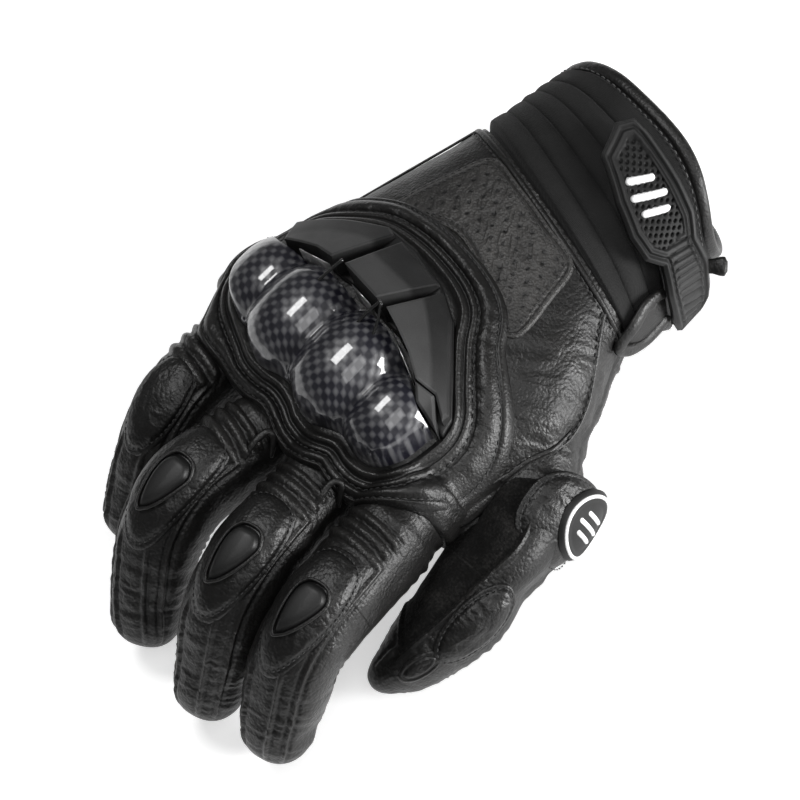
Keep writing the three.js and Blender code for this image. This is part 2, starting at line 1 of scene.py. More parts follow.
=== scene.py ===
"""Looks of a right-hand, short-cuff riding glove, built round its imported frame.

The script works in millimetres and turns them into metres where a mesh is made.
+Y runs to the fingertips, +X to the little finger and +Z out of the back of the hand.
"""
import math

import bmesh
import bpy
import numpy as np
from mathutils import Matrix, Vector
from mathutils.bvhtree import BVHTree


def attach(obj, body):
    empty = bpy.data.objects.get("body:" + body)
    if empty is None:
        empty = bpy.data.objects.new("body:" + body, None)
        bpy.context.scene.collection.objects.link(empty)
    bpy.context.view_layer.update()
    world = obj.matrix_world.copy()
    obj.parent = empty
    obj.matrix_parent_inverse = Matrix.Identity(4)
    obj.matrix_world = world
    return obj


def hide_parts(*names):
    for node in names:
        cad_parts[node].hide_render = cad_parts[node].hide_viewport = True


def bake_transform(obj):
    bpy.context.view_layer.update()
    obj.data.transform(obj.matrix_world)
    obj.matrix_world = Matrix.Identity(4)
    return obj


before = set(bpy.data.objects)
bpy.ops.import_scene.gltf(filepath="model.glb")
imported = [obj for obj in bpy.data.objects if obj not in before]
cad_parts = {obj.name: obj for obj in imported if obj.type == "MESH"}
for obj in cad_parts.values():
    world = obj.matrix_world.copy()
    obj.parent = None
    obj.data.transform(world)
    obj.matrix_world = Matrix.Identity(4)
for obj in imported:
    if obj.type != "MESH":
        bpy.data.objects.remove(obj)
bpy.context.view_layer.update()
MM = 0.001

# ---------------------------------------------------------------- driving dimensions
# the thumb, armour, scoop and closure follow their own lines here, some way from the frame's solids
# v station, x of thumb edge, x of little finger edge, z of palm, z of back, skew of the ring
BODY = np.array([
    [-54, -41.5, 30, 2.6, 56.5, -0.11],
    [-46, -41.5, 31, 2.4, 56.2, -0.13],
    [-36, -42, 33, 2.2, 55.4, -0.18],
    [-24, -42.5, 35.5, 2.0, 54.6, -0.25],
    [-12, -43.5, 37.5, 2.0, 54.2, -0.3],
    [0, -46, 41, 2.0, 54.6, -0.25],
    [14, -50.5, 46, 2.0, 55.2, -0.15],
    [30, -56, 52, 2.6, 55.8, -0.06],
    [46, -58.5, 58.5, 3.8, 56.2, 0],
    [62, -55, 62.5, 5.4, 56, 0],
    [78, -53, 63.5, 7.0, 55, 0],
    [92, -52.5, 61, 9.5, 53.4, 0],
])
BODY_POWER = 2.5
FINGER_POWER = 2.35
# centre line of each stall; pivots are points 1 and 3; widths and heights at knuckle, middle joint, tip
FINGERS = {
    "index": ([[-39.5, 80, 36], [-41, 101, 37], [-44.5, 129, 40.5], [-46, 146, 36],
               [-48.5, 160, 21.5], [-50.3, 169.3, 9.5]], [[26, 31], [25, 25.5], [20.5, 19.5]]),
    "middle": ([[-12.6, 80, 37], [-13.5, 106, 38], [-17, 131, 42.5], [-19, 147.5, 38],
                [-22, 163, 22.5], [-24.4, 174, 9.5]], [[26, 31.5], [25.5, 26], [20.5, 19.5]]),
    "ring": ([[13.6, 80, 36], [14.5, 104, 37], [16.8, 129, 41], [15.8, 145, 36.5],
              [11.5, 160, 22], [6.5, 170.3, 9.5]], [[25.5, 31], [25, 25.5], [20, 19]]),
    "pinky": ([[41, 68, 33], [44, 91, 34], [44.5, 110, 36], [43, 124, 31.5],
               [41, 138, 20], [38.5, 150, 7.5]], [[25.5, 30], [22.5, 22.5], [17.5, 17]]),
    "thumb": ([[-31, 27, 27], [-66, 75, 21.5], [-66.5, 88, 19.7], [-66, 103, 16.6],
               [-62.6, 119, 13], [-57.2, 134.5, 9.3]], [[26.5, 28.5], [24.5, 25], [15, 15]]),
}
HAND_END = 90
PINKY_SETBACK = [26.2, 78.5]       # x and y of the step in the hand's end on the little finger side
TIP_ROUND = 10
WRIST = -5                         # edge of the hand's leather
ARMOUR = [[7, 31.5], [-8, 34.5], [-15.5, 38.5], [-21.5, 46.5], [-30, 56], [-37.5, 64.5], [-39.7, 71], [-38.8, 81],
          [-36.6, 89], [-32.4, 93.4], [-26.9, 96.3], [-21.3, 96.8], [-15.8, 95.8], [-8, 98], [1.2, 97], [6.7, 94.4],
          [12.1, 93], [19.4, 93.2], [27, 92.4], [33.4, 89.6], [40.8, 86.2], [47.6, 82.6], [53.4, 77], [57, 69],
          [56.5, 60], [54, 52.5], [49, 44], [40, 38.3], [28, 32.6], [19, 31.2]]
FOAM_TOP = 3.8                     # top of the knuckle foam above the leather
SHELL = [[-35.6, 70], [-35.2, 77], [-33.5, 86], [-30, 90.8], [-25, 93.2], [-20, 92.9], [-15.2, 91.6], [-10, 93],
         [-3, 94.8], [3.4, 93.4], [9.2, 90.2], [14.5, 90], [22, 91.4], [29, 89], [34.3, 85.2], [38.5, 84.6],
         [43.5, 82.8], [48.5, 80], [52.5, 75], [54, 69], [53.2, 62.5], [49.6, 57.5], [30, 52], [12, 54], [-6, 55],
         [-20, 60], [-30, 67]]
SHELL_EDGE = 2.4
# the shell stops here, in front of the intakes; x, y
SHELL_REAR = [[-40, 75], [-31, 72.5], [-26, 69.5], [-19, 65.5], [-12, 62.5], [-6, 60.5], [0, 60], [22, 58],
              [45, 59.5], [55, 58]]
BUMPS = [[44.3, 69, 11.2, 15.5, 8.5], [22.2, 73, 12.7, 18.5, 12], [-2.8, 76, 13, 19.5, 13.5],
         [-25.3, 79, 11, 15, 11.5]]
SCOOP_FACETS = {                   # rim points: x, y, height of the top above the foam
    "pinky_side": [[22.4, 55.2, 14.5], [30.6, 54.9, 11.5], [44.8, 57.9, 7.5], [51.2, 49.3, 4.2], [36.9, 40.6, 3.4],
                   [23, 33.7, 3], [18.6, 35.2, 3.2]],
    "middle": [[16.2, 54.8, 16], [-1.1, 57.3, 18], [-4.9, 38.5, 3.6], [15.4, 35.2, 3.2]],
    "thumb_side": [[-6.3, 57.8, 18], [-12.5, 59.9, 16.9], [-18.9, 62.6, 15.4], [-25.6, 66.8, 12.9], [-31, 65.5, 9],
                   [-36.8, 69.5, 5.2], [-36.6, 66.5, 3.9], [-28.5, 57.5, 3.4], [-15.9, 44.4, 3.4], [-7.6, 39.7, 3.4]],
    "thumb_tip": [[-26.1, 67.5, 12.6], [-29.5, 71.3, 10.4], [-37.6, 73, 4.6], [-31.4, 66.2, 8.8]],
}
SCOOP_BASE = [[44.5, 57], [51, 49.5], [37, 40.6], [23, 33.6], [10, 34], [-5, 38], [-16, 44], [-28.7, 57.2],
              [-36.9, 66.6], [-38, 72], [-29.6, 71.6], [-26, 67.6], [-19, 63], [-12.5, 60.3], [-6.3, 58.2],
              [-1, 57.8], [16, 55.2], [22, 55.4], [30.6, 55]]
VENTS = [[29.5, 57.4, 5.5, 0.2], [8.0, 57.6, 4.6, -0.12], [-15, 63.2, 7.5, -0.45]]   # x, y, half width, slant
PANEL = [[20, -6], [4, -3.5], [-12, 0.5], [-26, 4.5], [-29.5, 17], [-31, 34], [-25, 36.5], [-12.5, 28.5],
         [8, 21], [23, 25], [33, 31], [33, 22], [27, 6]]
# closure pieces in cuff coordinates: distance round the cuff from the crown, station along the arm
CUFF_RADIUS = 36
TAB = [[0.8, -36], [2.6, -41], [7, -41.3], [22, -39.8], [32, -38.2], [39, -35.4], [50, -35.5], [62, -33], [66.5, -30],
       [66.5, -21.5], [60, -21.3], [49, -22], [38, -24], [32, -20.5], [24, -20], [14.5, -22], [3.5, -26.5]]
STRAP = [[2, -34], [7, -39.4], [20, -38.2], [38, -34], [60, -32], [74, -31], [74, -19], [60, -20.4], [38, -23.6],
         [20, -22], [5, -28]]
LOOP_FIELD = [[5, -28], [5, -38], [20, -38], [36, -34], [36, -25], [20, -23]]
HOOK_PATCH = [[8, -30], [8, -37], [20, -37], [33, -34], [33, -26], [20, -25]]
KEEPER_LOOP = [[-47.5, 11, 33.5], [-47.5, 4, 37], [-46, -4, 38.2], [-45.5, -10.5, 35.5], [-45.5, -14, 30],
               [-46, -11, 24.5], [-47, -5.2, 24], [-47.4, 2, 24.5], [-47.6, 7.5, 28]]     # x, y, z
KEEPER_BACK = [[-46.4, 8.5, 31], [-46, 0, 30.2], [-45.4, -11, 29.5]]
TAG_LINE = [[-44, -24, 32.6], [-48, -26.6, 32.8], [-53, -30.6, 32.6]]


# ---------------------------------------------------------------- numbers along tables, lines and noise
def look_up(table, at, column):
    """Smooth value of a table whose first column is the position."""
    table = np.asarray(table, float)
    knots, values = table[:, 0], table[:, column]
    last = len(knots) - 1
    low = np.maximum(np.arange(last + 1) - 1, 0)
    high = np.minimum(np.arange(last + 1) + 1, last)
    slope = (values[high] - values[low]) / (knots[high] - knots[low])
    i = np.searchsorted(knots[1:-1], at)
    span = knots[i + 1] - knots[i]
    t = np.clip((at - knots[i]) / span, 0, 1)
    return ((2 * t**3 - 3 * t**2 + 1) * values[i] + (t**3 - 2 * t**2 + t) * span * slope[i]
            + (3 * t**2 - 2 * t**3) * values[i + 1] + (t**3 - t**2) * span * slope[i + 1])


def smooth_line(points, closed=False, per_span=24):
    """Dense centripetal Catmull-Rom line through the points."""
    p = np.asarray(points, float)
    count = len(p)
    t = (np.arange(per_span) / per_span)[:, None]
    pieces = []
    for i in range(count if closed else count - 1):
        b, c = p[i], p[(i + 1) % count]
        a = p[i - 1] if closed or i else 2 * b - c
        d = p[(i + 2) % count] if closed or i + 2 < count else 2 * c - b
        ab, bc, cd = (max(np.linalg.norm(q - r), 1e-6) ** 0.5 for q, r in ((a, b), (b, c), (c, d)))
        out = ((b - a) / ab - (c - a) / (ab + bc) + (c - b) / bc) * bc
        into = ((c - b) / bc - (d - b) / (bc + cd) + (d - c) / cd) * bc
        pieces.append((2 * t**3 - 3 * t**2 + 1) * b + (t**3 - 2 * t**2 + t) * out
                      + (3 * t**2 - 2 * t**3) * c + (t**3 - t**2) * into)
    if not closed:
        pieces.append(p[-1:])
    return np.concatenate(pieces)


def straight_line(points, per_span=12):
    """Dense closed line with sharp corners."""
    p = np.asarray(points, float)
    t = (np.arange(per_span) / per_span)[:, None]
    return np.concatenate([p[i] * (1 - t) + p[(i + 1) % len(p)] * t for i in range(len(p))])


def resample(line, count, closed=False):
    """count points at even distances along a line."""
    p = np.asarray(line, float)
    if closed:
        p = np.concatenate([p, p[:1]])
    run = run_length(p)
    at = np.linspace(0, run[-1], count, endpoint=not closed)
    return np.stack([np.interp(at, run, p[:, k]) for k in range(p.shape[1])], 1)


def line_length(line):
    return np.linalg.norm(np.diff(line, axis=0), axis=1).sum()


def edge_distance(points, outline):
    """Distance of each 2-D point from a closed outline."""
    a, b = outline, np.roll(outline, -1, axis=0)
    best = np.full(len(points), 1e9)
    for p, q in zip(a, b):
        d = q - p
        t = np.clip(((points - p) @ d) / max(d @ d, 1e-12), 0, 1)
        best = np.minimum(best, np.linalg.norm(points - p - t[:, None] * d, axis=1))
    return best


def noise(points, size, seed=0):
    """Smooth noise from -1 to 1 with features of that size in millimetres; size may differ by axis."""
    grid = np.random.default_rng(seed).uniform(-1, 1, (32, 32, 32))
    q = np.asarray(points, float) / np.asarray(size, float)
    cell = np.floor(q).astype(int)
    f = q - cell
    f = f * f * (3 - 2 * f)
    total = 0
    for corner in range(8):
        step = np.array([corner & 1, corner >> 1 & 1, corner >> 2 & 1])
        weight = np.prod(np.where(step, f, 1 - f), axis=-1)
        k = (cell + step) % 32
        total = total + weight * grid[k[..., 0], k[..., 1], k[..., 2]]
    return total


def unit(vectors):
    return vectors / np.linalg.norm(vectors, axis=-1, keepdims=True)


def run_length(line):
    """Distance along a line at each of its points."""
    return np.r_[0, np.cumsum(np.linalg.norm(np.diff(line, axis=0), axis=1))]


def ramp(value, low, high):
    t = np.clip((value - low) / (high - low), 0, 1)
    return t * t * (3 - 2 * t)


def window(value, low, high, soft):
    return ramp(value, low - soft, low + soft) * (1 - ramp(value, high - soft, high + soft))


def ridge(distance, width):
    """A raised cord with a groove on each side, one high."""
    return np.exp(-(distance / width) ** 2) - 0.7 * np.exp(-((np.abs(distance) - 2.1 * width) / width) ** 2)


# ---------------------------------------------------------------- the skins everything sits on
def super_point(angle, a, b, power):
    c, s = np.cos(angle), np.sin(angle)
    return a * np.sign(c) * np.abs(c) ** (2 / power), b * np.sign(s) * np.abs(s) ** (2 / power)


def body_section(v):
    left, right, low, high, skew = (look_up(BODY, v, k) for k in range(1, 6))
    return (left + right) / 2, (low + high) / 2, (right - left) / 2, (high - low) / 2, skew


def body_point(angle, v, offset=0.0):
    """Skin of hand and cuff; angle 0 is the little finger side, 90 degrees the back."""
    x, z, a, b, skew = body_section(v)
    dx, dz = super_point(angle, a + offset, b + offset, BODY_POWER)
    return np.stack([x + dx, v + skew * dx, z + dz], -1)


def skin_height(x, y, side=1):
    v = np.array(y, float)
    for _ in range(6):
        cx, cz, a, b, skew = body_section(v)
        v = y - skew * (x - cx)
    cx, cz, a, b, skew = body_section(v)
    u = np.clip(np.abs((x - cx) / a), 0, 0.995)
    return cz + side * b * (1 - u**BODY_POWER) ** (1 / BODY_POWER)


def on_back(u, v, lift):
    return np.stack([u, v, skin_height(u, v) + lift], -1)


def on_cuff(u, v, lift):
    return body_point(np.pi / 2 + u / CUFF_RADIUS, v, lift)


def from_crown(angle, rolled=0):
    """Degrees from the crown of a finger or cuff, from -180 to 180."""
    return (np.degrees(angle) - 90 - rolled + 180) % 360 - 180


class Finger:
    def __init__(self, name):
        points, self.size = FINGERS[name]
        self.name = name
        self.line = smooth_line(points, per_span=60)
        self.run = run_length(self.line)
        self.length = self.run[-1]
        self.knuckle = self.run[60]
        self.middle = self.run[180]

    def at(self, s):
        return np.stack([np.interp(s, self.run, self.line[:, k]) for k in range(3)], -1)

    def axes(self, s):
        s = np.clip(s, 0, self.length)
        along = self.at(np.minimum(s + 0.8, self.length)) - self.at(np.maximum(s - 0.8, 0))
        along = unit(along)
        side = np.cross(along, [0, 0, 1])
        side = unit(side)
        return along, side, np.cross(side, along)

    def half_size(self, s):
        rows = [[self.knuckle, *self.size[0]], [self.middle, *self.size[1]], [self.length, *self.size[2]]]
        at = np.clip(s, self.knuckle, self.length)
        return look_up(rows, at, 1) / 2, look_up(rows, at, 2) / 2

    def point(self, s, angle, offset=0.0, scale=1.0):
        """Point of the stall; angle 0 is the +X side, 90 degrees the back of the finger."""
        _, side, up = self.axes(s)
        a, b = self.half_size(s)
        dx, dz = super_point(angle, (a + offset) * scale, (b + offset) * scale, FINGER_POWER)
        return self.at(s) + side * dx[..., None] + up * dz[..., None]

    def surface(self, centre_at, crown):
        """u = distance round the stall from the crown, towards the little finger side; v = along it."""
        def place(u, v, lift):
            s = centre_at + v
            a, b = self.half_size(s)
            return self.point(s, math.radians(crown) - u / ((a + b) / 2), lift)
        return place


fingers = {name: Finger(name) for name in FINGERS}
KNUCKLE_SLOPE = 0.28               # the back falls away at this rate past the knuckles


def crown_height(x, y):
    """Top of the hand, carried on over the roots of the fingers and the webs between them."""
    x, y = np.broadcast_arrays(np.asarray(x, float), np.asarray(y, float))
    tops = [skin_height(x, np.minimum(y, 88)) - KNUCKLE_SLOPE * np.maximum(y - 88, 0)]
    for name in ("index", "middle", "ring", "pinky"):
        finger = fingers[name]
        s = np.interp(y, finger.line[:, 1], finger.run)
        middle = finger.at(s)
        a, b = finger.half_size(s)
        q = np.abs(x - middle[..., 0]) / a
        rise = (b + 0.3) * np.maximum(1 - q**FINGER_POWER, 0) ** (1 / FINGER_POWER)
        fade = 12 * (1 - ramp(y, 70, 89))
        tops.append(np.where((q < 1) & (y > 68), middle[..., 2] + rise - fade, 0))
    tops = np.stack(tops)
    top = tops.max(0)
    return top + 0.7 * np.log(np.exp((tops - top) / 0.7).sum(0))


def on_crown(u, v, lift):
    return np.stack([u, v, crown_height(u, v) + lift], -1)


# ---------------------------------------------------------------- meshes
def make_object(name, points, faces, material, smooth=True):
    mesh = bpy.data.meshes.new(name)
    mesh.from_pydata((np.asarray(points, float) * MM).tolist(), [], [list(map(int, f)) for f in faces])
    mesh.polygons.foreach_set("use_smooth", [smooth] * len(mesh.polygons))
    mesh.update()
    piece = bpy.data.objects.new(name, mesh)
    bpy.context.scene.collection.objects.link(piece)
    if material:
        mesh.materials.append(material)
    return piece


def grid_faces(rows, columns, wrap_rows=False, wrap_columns=False):
    r = np.arange(rows if wrap_rows else rows - 1)[:, None]
    c = np.arange(columns if wrap_columns else columns - 1)[None, :]
    r2, c2 = (r + 1) % rows, (c + 1) % columns
    return np.stack([r * columns + c, r * columns + c2, r2 * columns + c2, r2 * columns + c], -1).reshape(-1, 4)


def outward(points, faces):
    """Faces turned so that a closed mesh has a positive volume."""
    p = np.asarray(points)
    corners = np.array([f if len(f) == 4 else [*f, f[2]] for f in faces])
    a, b, c, d = (p[corners[:, k]] for k in range(4))
    volume = (a * (np.cross(b, c) + np.cross(c, d))).sum()
    return [f[::-1] for f in faces] if volume < 0 else faces


def closed_rings(rings, start=None, end=None):
    """Mesh of rings of equal count, with a point that closes each end, or joined in a loop."""
    rings = np.asarray(rings)
    rows, columns = rings.shape[:2]
    faces = grid_faces(rows, columns, start is None, True).tolist()
    points = rings.reshape(-1, 3)
    if start is not None:
        apex = len(points)
        points = np.concatenate([points, [start], [end]])
        last = (rows - 1) * columns
        faces += [[apex, (i + 1) % columns, i] for i in range(columns)]
        faces += [[apex + 1, last + i, last + (i + 1) % columns] for i in range(columns)]
    return points, outward(points, faces)


def paint(piece, name, values):
    layer = piece.data.attributes.new(name, "FLOAT", "POINT")
    layer.data.foreach_set("value", np.asarray(values, np.float32))


def coordinates(piece):
    out = np.empty(len(piece.data.vertices) * 3)
    piece.data.vertices.foreach_get("co", out)
    return out.reshape(-1, 3) / MM


def solidify(piece, thickness):
    wall = piece.modifiers.new("wall", "SOLIDIFY")
    wall.thickness = thickness * MM
    wall.offset = -1
    return piece


def subdivide(piece, levels=1):
    finer = piece.modifiers.new("finer", "SUBSURF")
    finer.levels = finer.render_levels = levels
    return piece


def patch(name, place, outline, centre, height, material, rings=24, under=-0.8, edge_power=1.4):
    """Closed piece over a star-shaped outline, with height(u, v, radius, edge distance) on the surface place."""
    outline, centre = np.asarray(outline, float), np.asarray(centre, float)
    radii = 1 - (1 - np.linspace(0, 1, rings + 1)[1:]) ** edge_power
    flat = centre + radii[:, None, None] * (outline - centre)
    u, v = flat[..., 0], flat[..., 1]
    r = np.broadcast_to(radii[:, None], u.shape)
    d = edge_distance(flat.reshape(-1, 2), outline).reshape(u.shape)
    lift = height(u, v, r, d)
    core = height(centre[:1], centre[1:], np.zeros(1), d[:1, 0])
    top = place(u, v, lift)
    bottom = place(u, v, np.full_like(u, under))[::-4]
    points, faces = closed_rings(np.concatenate([top, bottom]), place(centre[0], centre[1], core[0]),
                                 place(centre[0], centre[1], under))
    piece = make_object(name, points, faces, material)
    # Height above the piece's mean is painted as relief: the leather, knit and moulded materials turn it into painted
    # shade on low parts and a painted highlight on high ones.
    relief = np.zeros(len(points))
    relief[: lift.size] = (lift - lift.mean()).ravel()
    paint(piece, "relief", np.clip(relief / 0.6, -1, 1))
    return piece


def sweep(name, line, radius, material, closed=False, sides=10, flat=1.0, up=None):
    """Rod along a line; flat squeezes it along the surface normals given in up."""
    line = np.asarray(line, float)
    if closed:
        along = np.roll(line, -1, axis=0) - np.roll(line, 1, axis=0)
    else:
        along = np.gradient(line, axis=0)
    along = unit(along)
    up = np.tile([0.0, 0.0, 1.0], (len(line), 1)) if up is None else up
    side = np.cross(along, up)
    side = unit(side)
    up = np.cross(side, along)
    turn = np.linspace(0, 2 * np.pi, sides, endpoint=False)
    width = np.broadcast_to(radius, len(line))[:, None, None]
    rings = (line[:, None] + width * np.cos(turn)[None, :, None] * side[:, None]
             + width * flat * np.sin(turn)[None, :, None] * up[:, None])
    if closed:
        points, faces = closed_rings(rings)
    else:
        points, faces = closed_rings(rings, line[0], line[-1])
    return make_object(name, points, faces, material)


def normals_on(place, line, lift=0.0):
    n = place(line[:, 0], line[:, 1], lift + 1.0) - place(line[:, 0], line[:, 1], lift)
    return unit(n)


def stitch_row(name, lines, material, length=2.1, pitch=3.0, radius=0.27):
    """Sewn stitches along lines; each line is (points, normals, closed)."""
    around, rows = 6, 6
    turn = np.linspace(0, 2 * np.pi, around, endpoint=False)
    steps = np.linspace(-1, 1, rows)
    points, faces, base = [], [], 0
    for line, normal, closed in lines:
        if closed:
            line, normal = np.r_[line, line[:1]], np.r_[normal, normal[:1]]
        run = run_length(line)
        count = max(1, int(run[-1] / pitch))
        for middle in (np.arange(count) + 0.5) * run[-1] / count:
            at = middle + steps * length / 2
            centre = np.stack([np.interp(at, run, line[:, k]) for k in range(3)], 1)
            up = np.stack([np.interp(middle, run, normal[:, k]) for k in range(3)])
            up /= np.linalg.norm(up)
            along = centre[-1] - centre[0]
            along /= max(np.linalg.norm(along), 1e-6)
            side = np.cross(along, up)
            side /= np.linalg.norm(side)
            centre += up * (0.22 * (1 - steps**2) - 0.08)[:, None]
            width = radius * np.sqrt(np.maximum(1 - 0.9 * steps**4, 0.05))[:, None, None]
            rings = centre[:, None] + width * (np.cos(turn)[None, :, None] * side + np.sin(turn)[None, :, None] * up)
            p, f = closed_rings(rings, centre[0], centre[-1])
            faces += [[k + base for k in face] for face in f]
            points.append(p)
            base += len(p)
    return make_object(name, np.concatenate(points), faces, material)


def line_normals(line, reach=1):
    """Normals of a closed flat line."""
    along = np.roll(line, -reach, axis=0) - np.roll(line, reach, axis=0)
    return unit(np.stack([along[:, 1], -along[:, 0]], 1))


def inset_line(outline, centre, distance):
    """A closed outline moved inwards by a distance."""
    line = np.asarray(outline, float)
    normal = line_normals(line)
    if ((line - centre) * normal).sum() > 0:
        normal = -normal
    return line + normal * distance


def oval(rx, ry, power=2.2, count=96, centre=(0, 0)):
    angle = np.linspace(0, 2 * np.pi, count, endpoint=False)
    x, y = super_point(angle, rx, ry, power)
    return np.stack([x + centre[0], y + centre[1]], 1)


# ---------------------------------------------------------------- materials
class Shader:
    """A Principled material built from object-space noise, so that it needs no unwrapped mesh."""

    def __init__(self, name, **fixed):
        self.material = bpy.data.materials.new(name)
        self.material.use_nodes = True
        self.tree = self.material.node_tree
        self.surface = self.tree.nodes["Principled BSDF"]
        for key, value in fixed.items():
            self.surface.inputs[key.replace("_", " ")].default_value = value
        self.place = self.tree.nodes.new("ShaderNodeTexCoord").outputs["Object"]

    def node(self, kind, inputs, **settings):
        made = self.tree.nodes.new("ShaderNode" + kind)
        for key, value in settings.items():
            setattr(made, key, value)
        for key, value in inputs.items():
            if isinstance(value, bpy.types.NodeSocket):
                self.tree.links.new(value, made.inputs[key])
            else:
                made.inputs[key].default_value = value
        return made.outputs

    def math(self, operation, a, b=0.0, clamp=False):
        return self.node("Math", {0: a, 1: b}, operation=operation, use_clamp=clamp)[0]

    def noise(self, size, detail=2.0, stretch=None, turn=0.0):
        place = self.place
        if stretch:
            mapping = {"Vector": place, "Scale": stretch, "Rotation": (0, 0, turn)}
            place = self.node("Mapping", mapping)["Vector"]
        inputs = {"Vector": place, "Scale": 1 / (size * MM), "Detail": detail, "Roughness": 0.55}
        return self.node("TexNoise", inputs)["Fac"]

    def cells(self, size, feature="F1"):
        inputs = {"Vector": self.place, "Scale": 1 / (size * MM)}
        return self.node("TexVoronoi", inputs, feature=feature)["Distance"]

    def attribute(self, name):
        return self.node("Attribute", {}, attribute_name=name)["Fac"]

    def ramp(self, fac, stops):
        made = self.tree.nodes.new("ShaderNodeValToRGB")
        self.tree.links.new(fac, made.inputs["Fac"])
        ends = made.color_ramp.elements
        while len(ends) < len(stops):
            ends.new(0.5)
        for element, (position, colour) in zip(ends, stops):
            element.position = position
            element.color = (*colour, 1)
        return made.outputs["Color"]

    def blend(self, fac, a, b):
        made = self.tree.nodes.new("ShaderNodeMix")
        made.data_type = "RGBA"
        for socket, value in ((0, fac), (6, a), (7, b)):
            if isinstance(value, bpy.types.NodeSocket):
                self.tree.links.new(value, made.inputs[socket])
            else:
                made.inputs[socket].default_value = value if socket == 0 else (*value, 1)
        return made.outputs[2]

    def spread(self, fac, low, high):
        """A 0 to 1 value spread over low to high."""
        return self.node("MapRange", {"Value": fac, "To Min": low, "To Max": high})["Result"]

    def finish(self, colour, roughness, height, depth, strength=1.0):
        self.tree.links.new(colour, self.surface.inputs["Base Color"])
        self.tree.links.new(roughness, self.surface.inputs["Roughness"])
        bump = self.node("Bump", {"Height": height, "Distance": depth * MM, "Strength": strength})
        self.tree.links.new(bump["Normal"], self.surface.inputs["Normal"])
        return self.material


def grey(tone, warm=0.0):
    return tone * (1 + warm), tone, tone * (1 - warm)


def leather(name, tone, roughness, grain=1.1, depth=0.16, folds=0.5, warm=0.04):
    s = Shader(name, Specular_IOR_Level=0.42)
    pebbles = s.cells(grain)
    creases = s.cells(grain * 2.3, "DISTANCE_TO_EDGE")
    fine = s.noise(grain * 0.35, 3)
    wrinkles = s.noise(grain * 3.2, 3, (1, 0.45, 1), 0.5)
    cloud = s.noise(16, 3)
    relief = s.attribute("relief")
    height = s.math("ADD", s.math("MULTIPLY", pebbles, -0.55), s.math("MULTIPLY", fine, 0.35))
    height = s.math("ADD", height, s.math("MULTIPLY", s.math("MINIMUM", creases, 0.2), 0.9))
    height = s.math("ADD", height, s.math("MULTIPLY", wrinkles, folds))
    # Colour and roughness: a random cloudy tone, plus painted shade in hollows and between the grain pebbles and a
    # painted highlight on raised parts, taken from the relief attribute.
    shade_and_tone = s.math("ADD", s.math("MULTIPLY", relief, 0.28), cloud)
    shade_and_tone = s.math("ADD", shade_and_tone, s.math("MULTIPLY", pebbles, -0.25), True)
    colour = s.ramp(shade_and_tone, [(0.15, grey(tone * 0.45, warm)), (0.5, grey(tone, warm)), (0.9, grey(tone * 2.1, warm))])
    # Painted shade: pits marked by the pit attribute, the panel's holes, are coloured near black.
    colour = s.blend(s.attribute("pit"), colour, grey(0.0006))
    return s.finish(colour, s.spread(shade_and_tone, roughness + 0.12, roughness - 0.1), height, depth)


def suede_material(name, tone):
    s = Shader(name, Specular_IOR_Level=0.12, Sheen_Weight=0.04, Sheen_Roughness=0.6)
    nap = s.noise(0.8, 5)
    flecks = s.cells(1.3)
    cloud = s.noise(9, 4)
    mixed = s.math("ADD", s.math("MULTIPLY", cloud, 0.5), s.math("MULTIPLY", nap, 0.5))
    colour = s.ramp(mixed, [(0.36, grey(tone * 0.25, 0.05)), (0.5, grey(tone, 0.05)), (0.66, grey(tone * 6, 0.05))])
    height = s.math("ADD", nap, s.math("MULTIPLY", flecks, -0.5))
    return s.finish(colour, s.spread(cloud, 0.95, 0.7), height, 0.45)


def knit_material(name, tone):
    s = Shader(name, Specular_IOR_Level=0.2, Sheen_Weight=0.1, Sheen_Roughness=0.5)
    turned = s.node("Mapping", {"Vector": s.place, "Rotation": (0, 0, -0.6)})["Vector"]
    axis = s.node("SeparateXYZ", {"Vector": turned})
    wave = 2 * math.pi / (0.75 * MM)
    a = s.math("SINE", s.math("MULTIPLY", axis["X"], wave))
    b = s.math("SINE", s.math("MULTIPLY", s.math("ADD", axis["Y"], axis["Z"]), wave * 1.3))
    loops = s.math("MULTIPLY", a, b)
    fuzz = s.noise(0.5, 3)
    cloud = s.noise(14, 3)
    relief = s.attribute("relief")
    # Colour: a random cloudy tone, plus painted shade in the rib valleys and a painted highlight on the rib crests,
    # taken from the relief attribute.
    mixed = s.math("ADD", s.math("MULTIPLY", relief, 0.3), s.math("MULTIPLY", s.math("ADD", cloud, fuzz), 0.5), True)
    colour = s.ramp(mixed, [(0.2, grey(tone * 0.35)), (0.5, grey(tone)), (0.85, grey(tone * 1.7))])
    height = s.math("ADD", s.math("MULTIPLY", loops, 0.35), fuzz)
    return s.finish(colour, s.spread(cloud, 0.92, 0.8), height, 0.12)


WEAVE_PITCH = 3.0                  # tows of the carbon cloth, which runs at 45 degrees to the hand


def carbon_material():
    s = Shader("carbon_weave", Specular_IOR_Level=0.6, Coat_Weight=1.0, Coat_Roughness=0.035)
    across = s.attribute("weave_u")
    along = s.attribute("weave_v")
    turn = 2 * math.pi / (WEAVE_PITCH * math.sqrt(2))
    a = s.math("MULTIPLY", s.math("ADD", across, along), turn)
    b = s.math("MULTIPLY", s.math("SUBTRACT", along, across), turn)
    dots = s.math("ADD", s.math("COSINE", a), s.math("COSINE", b))
    threads = s.math("SINE", s.math("MULTIPLY", across, 2 * math.pi / 0.32))
    cloud = s.noise(7, 2)
    level = s.math("ADD", s.math("MULTIPLY", dots, 0.22), s.math("MULTIPLY", cloud, 0.4))
    level = s.math("ADD", s.math("ADD", level, 0.3), s.math("MULTIPLY", threads, 0.02), True)
    colour = s.ramp(level, [(0.3, (0.006, 0.006, 0.011)), (0.47, (0.011, 0.011, 0.017)),
                            (0.62, (0.048, 0.048, 0.055)), (0.95, (0.095, 0.095, 0.1))])
    height = s.math("ADD", dots, s.math("MULTIPLY", threads, 0.15))
    return s.finish(colour, s.spread(cloud, 0.3, 0.42), height, 0.05, 0.5)


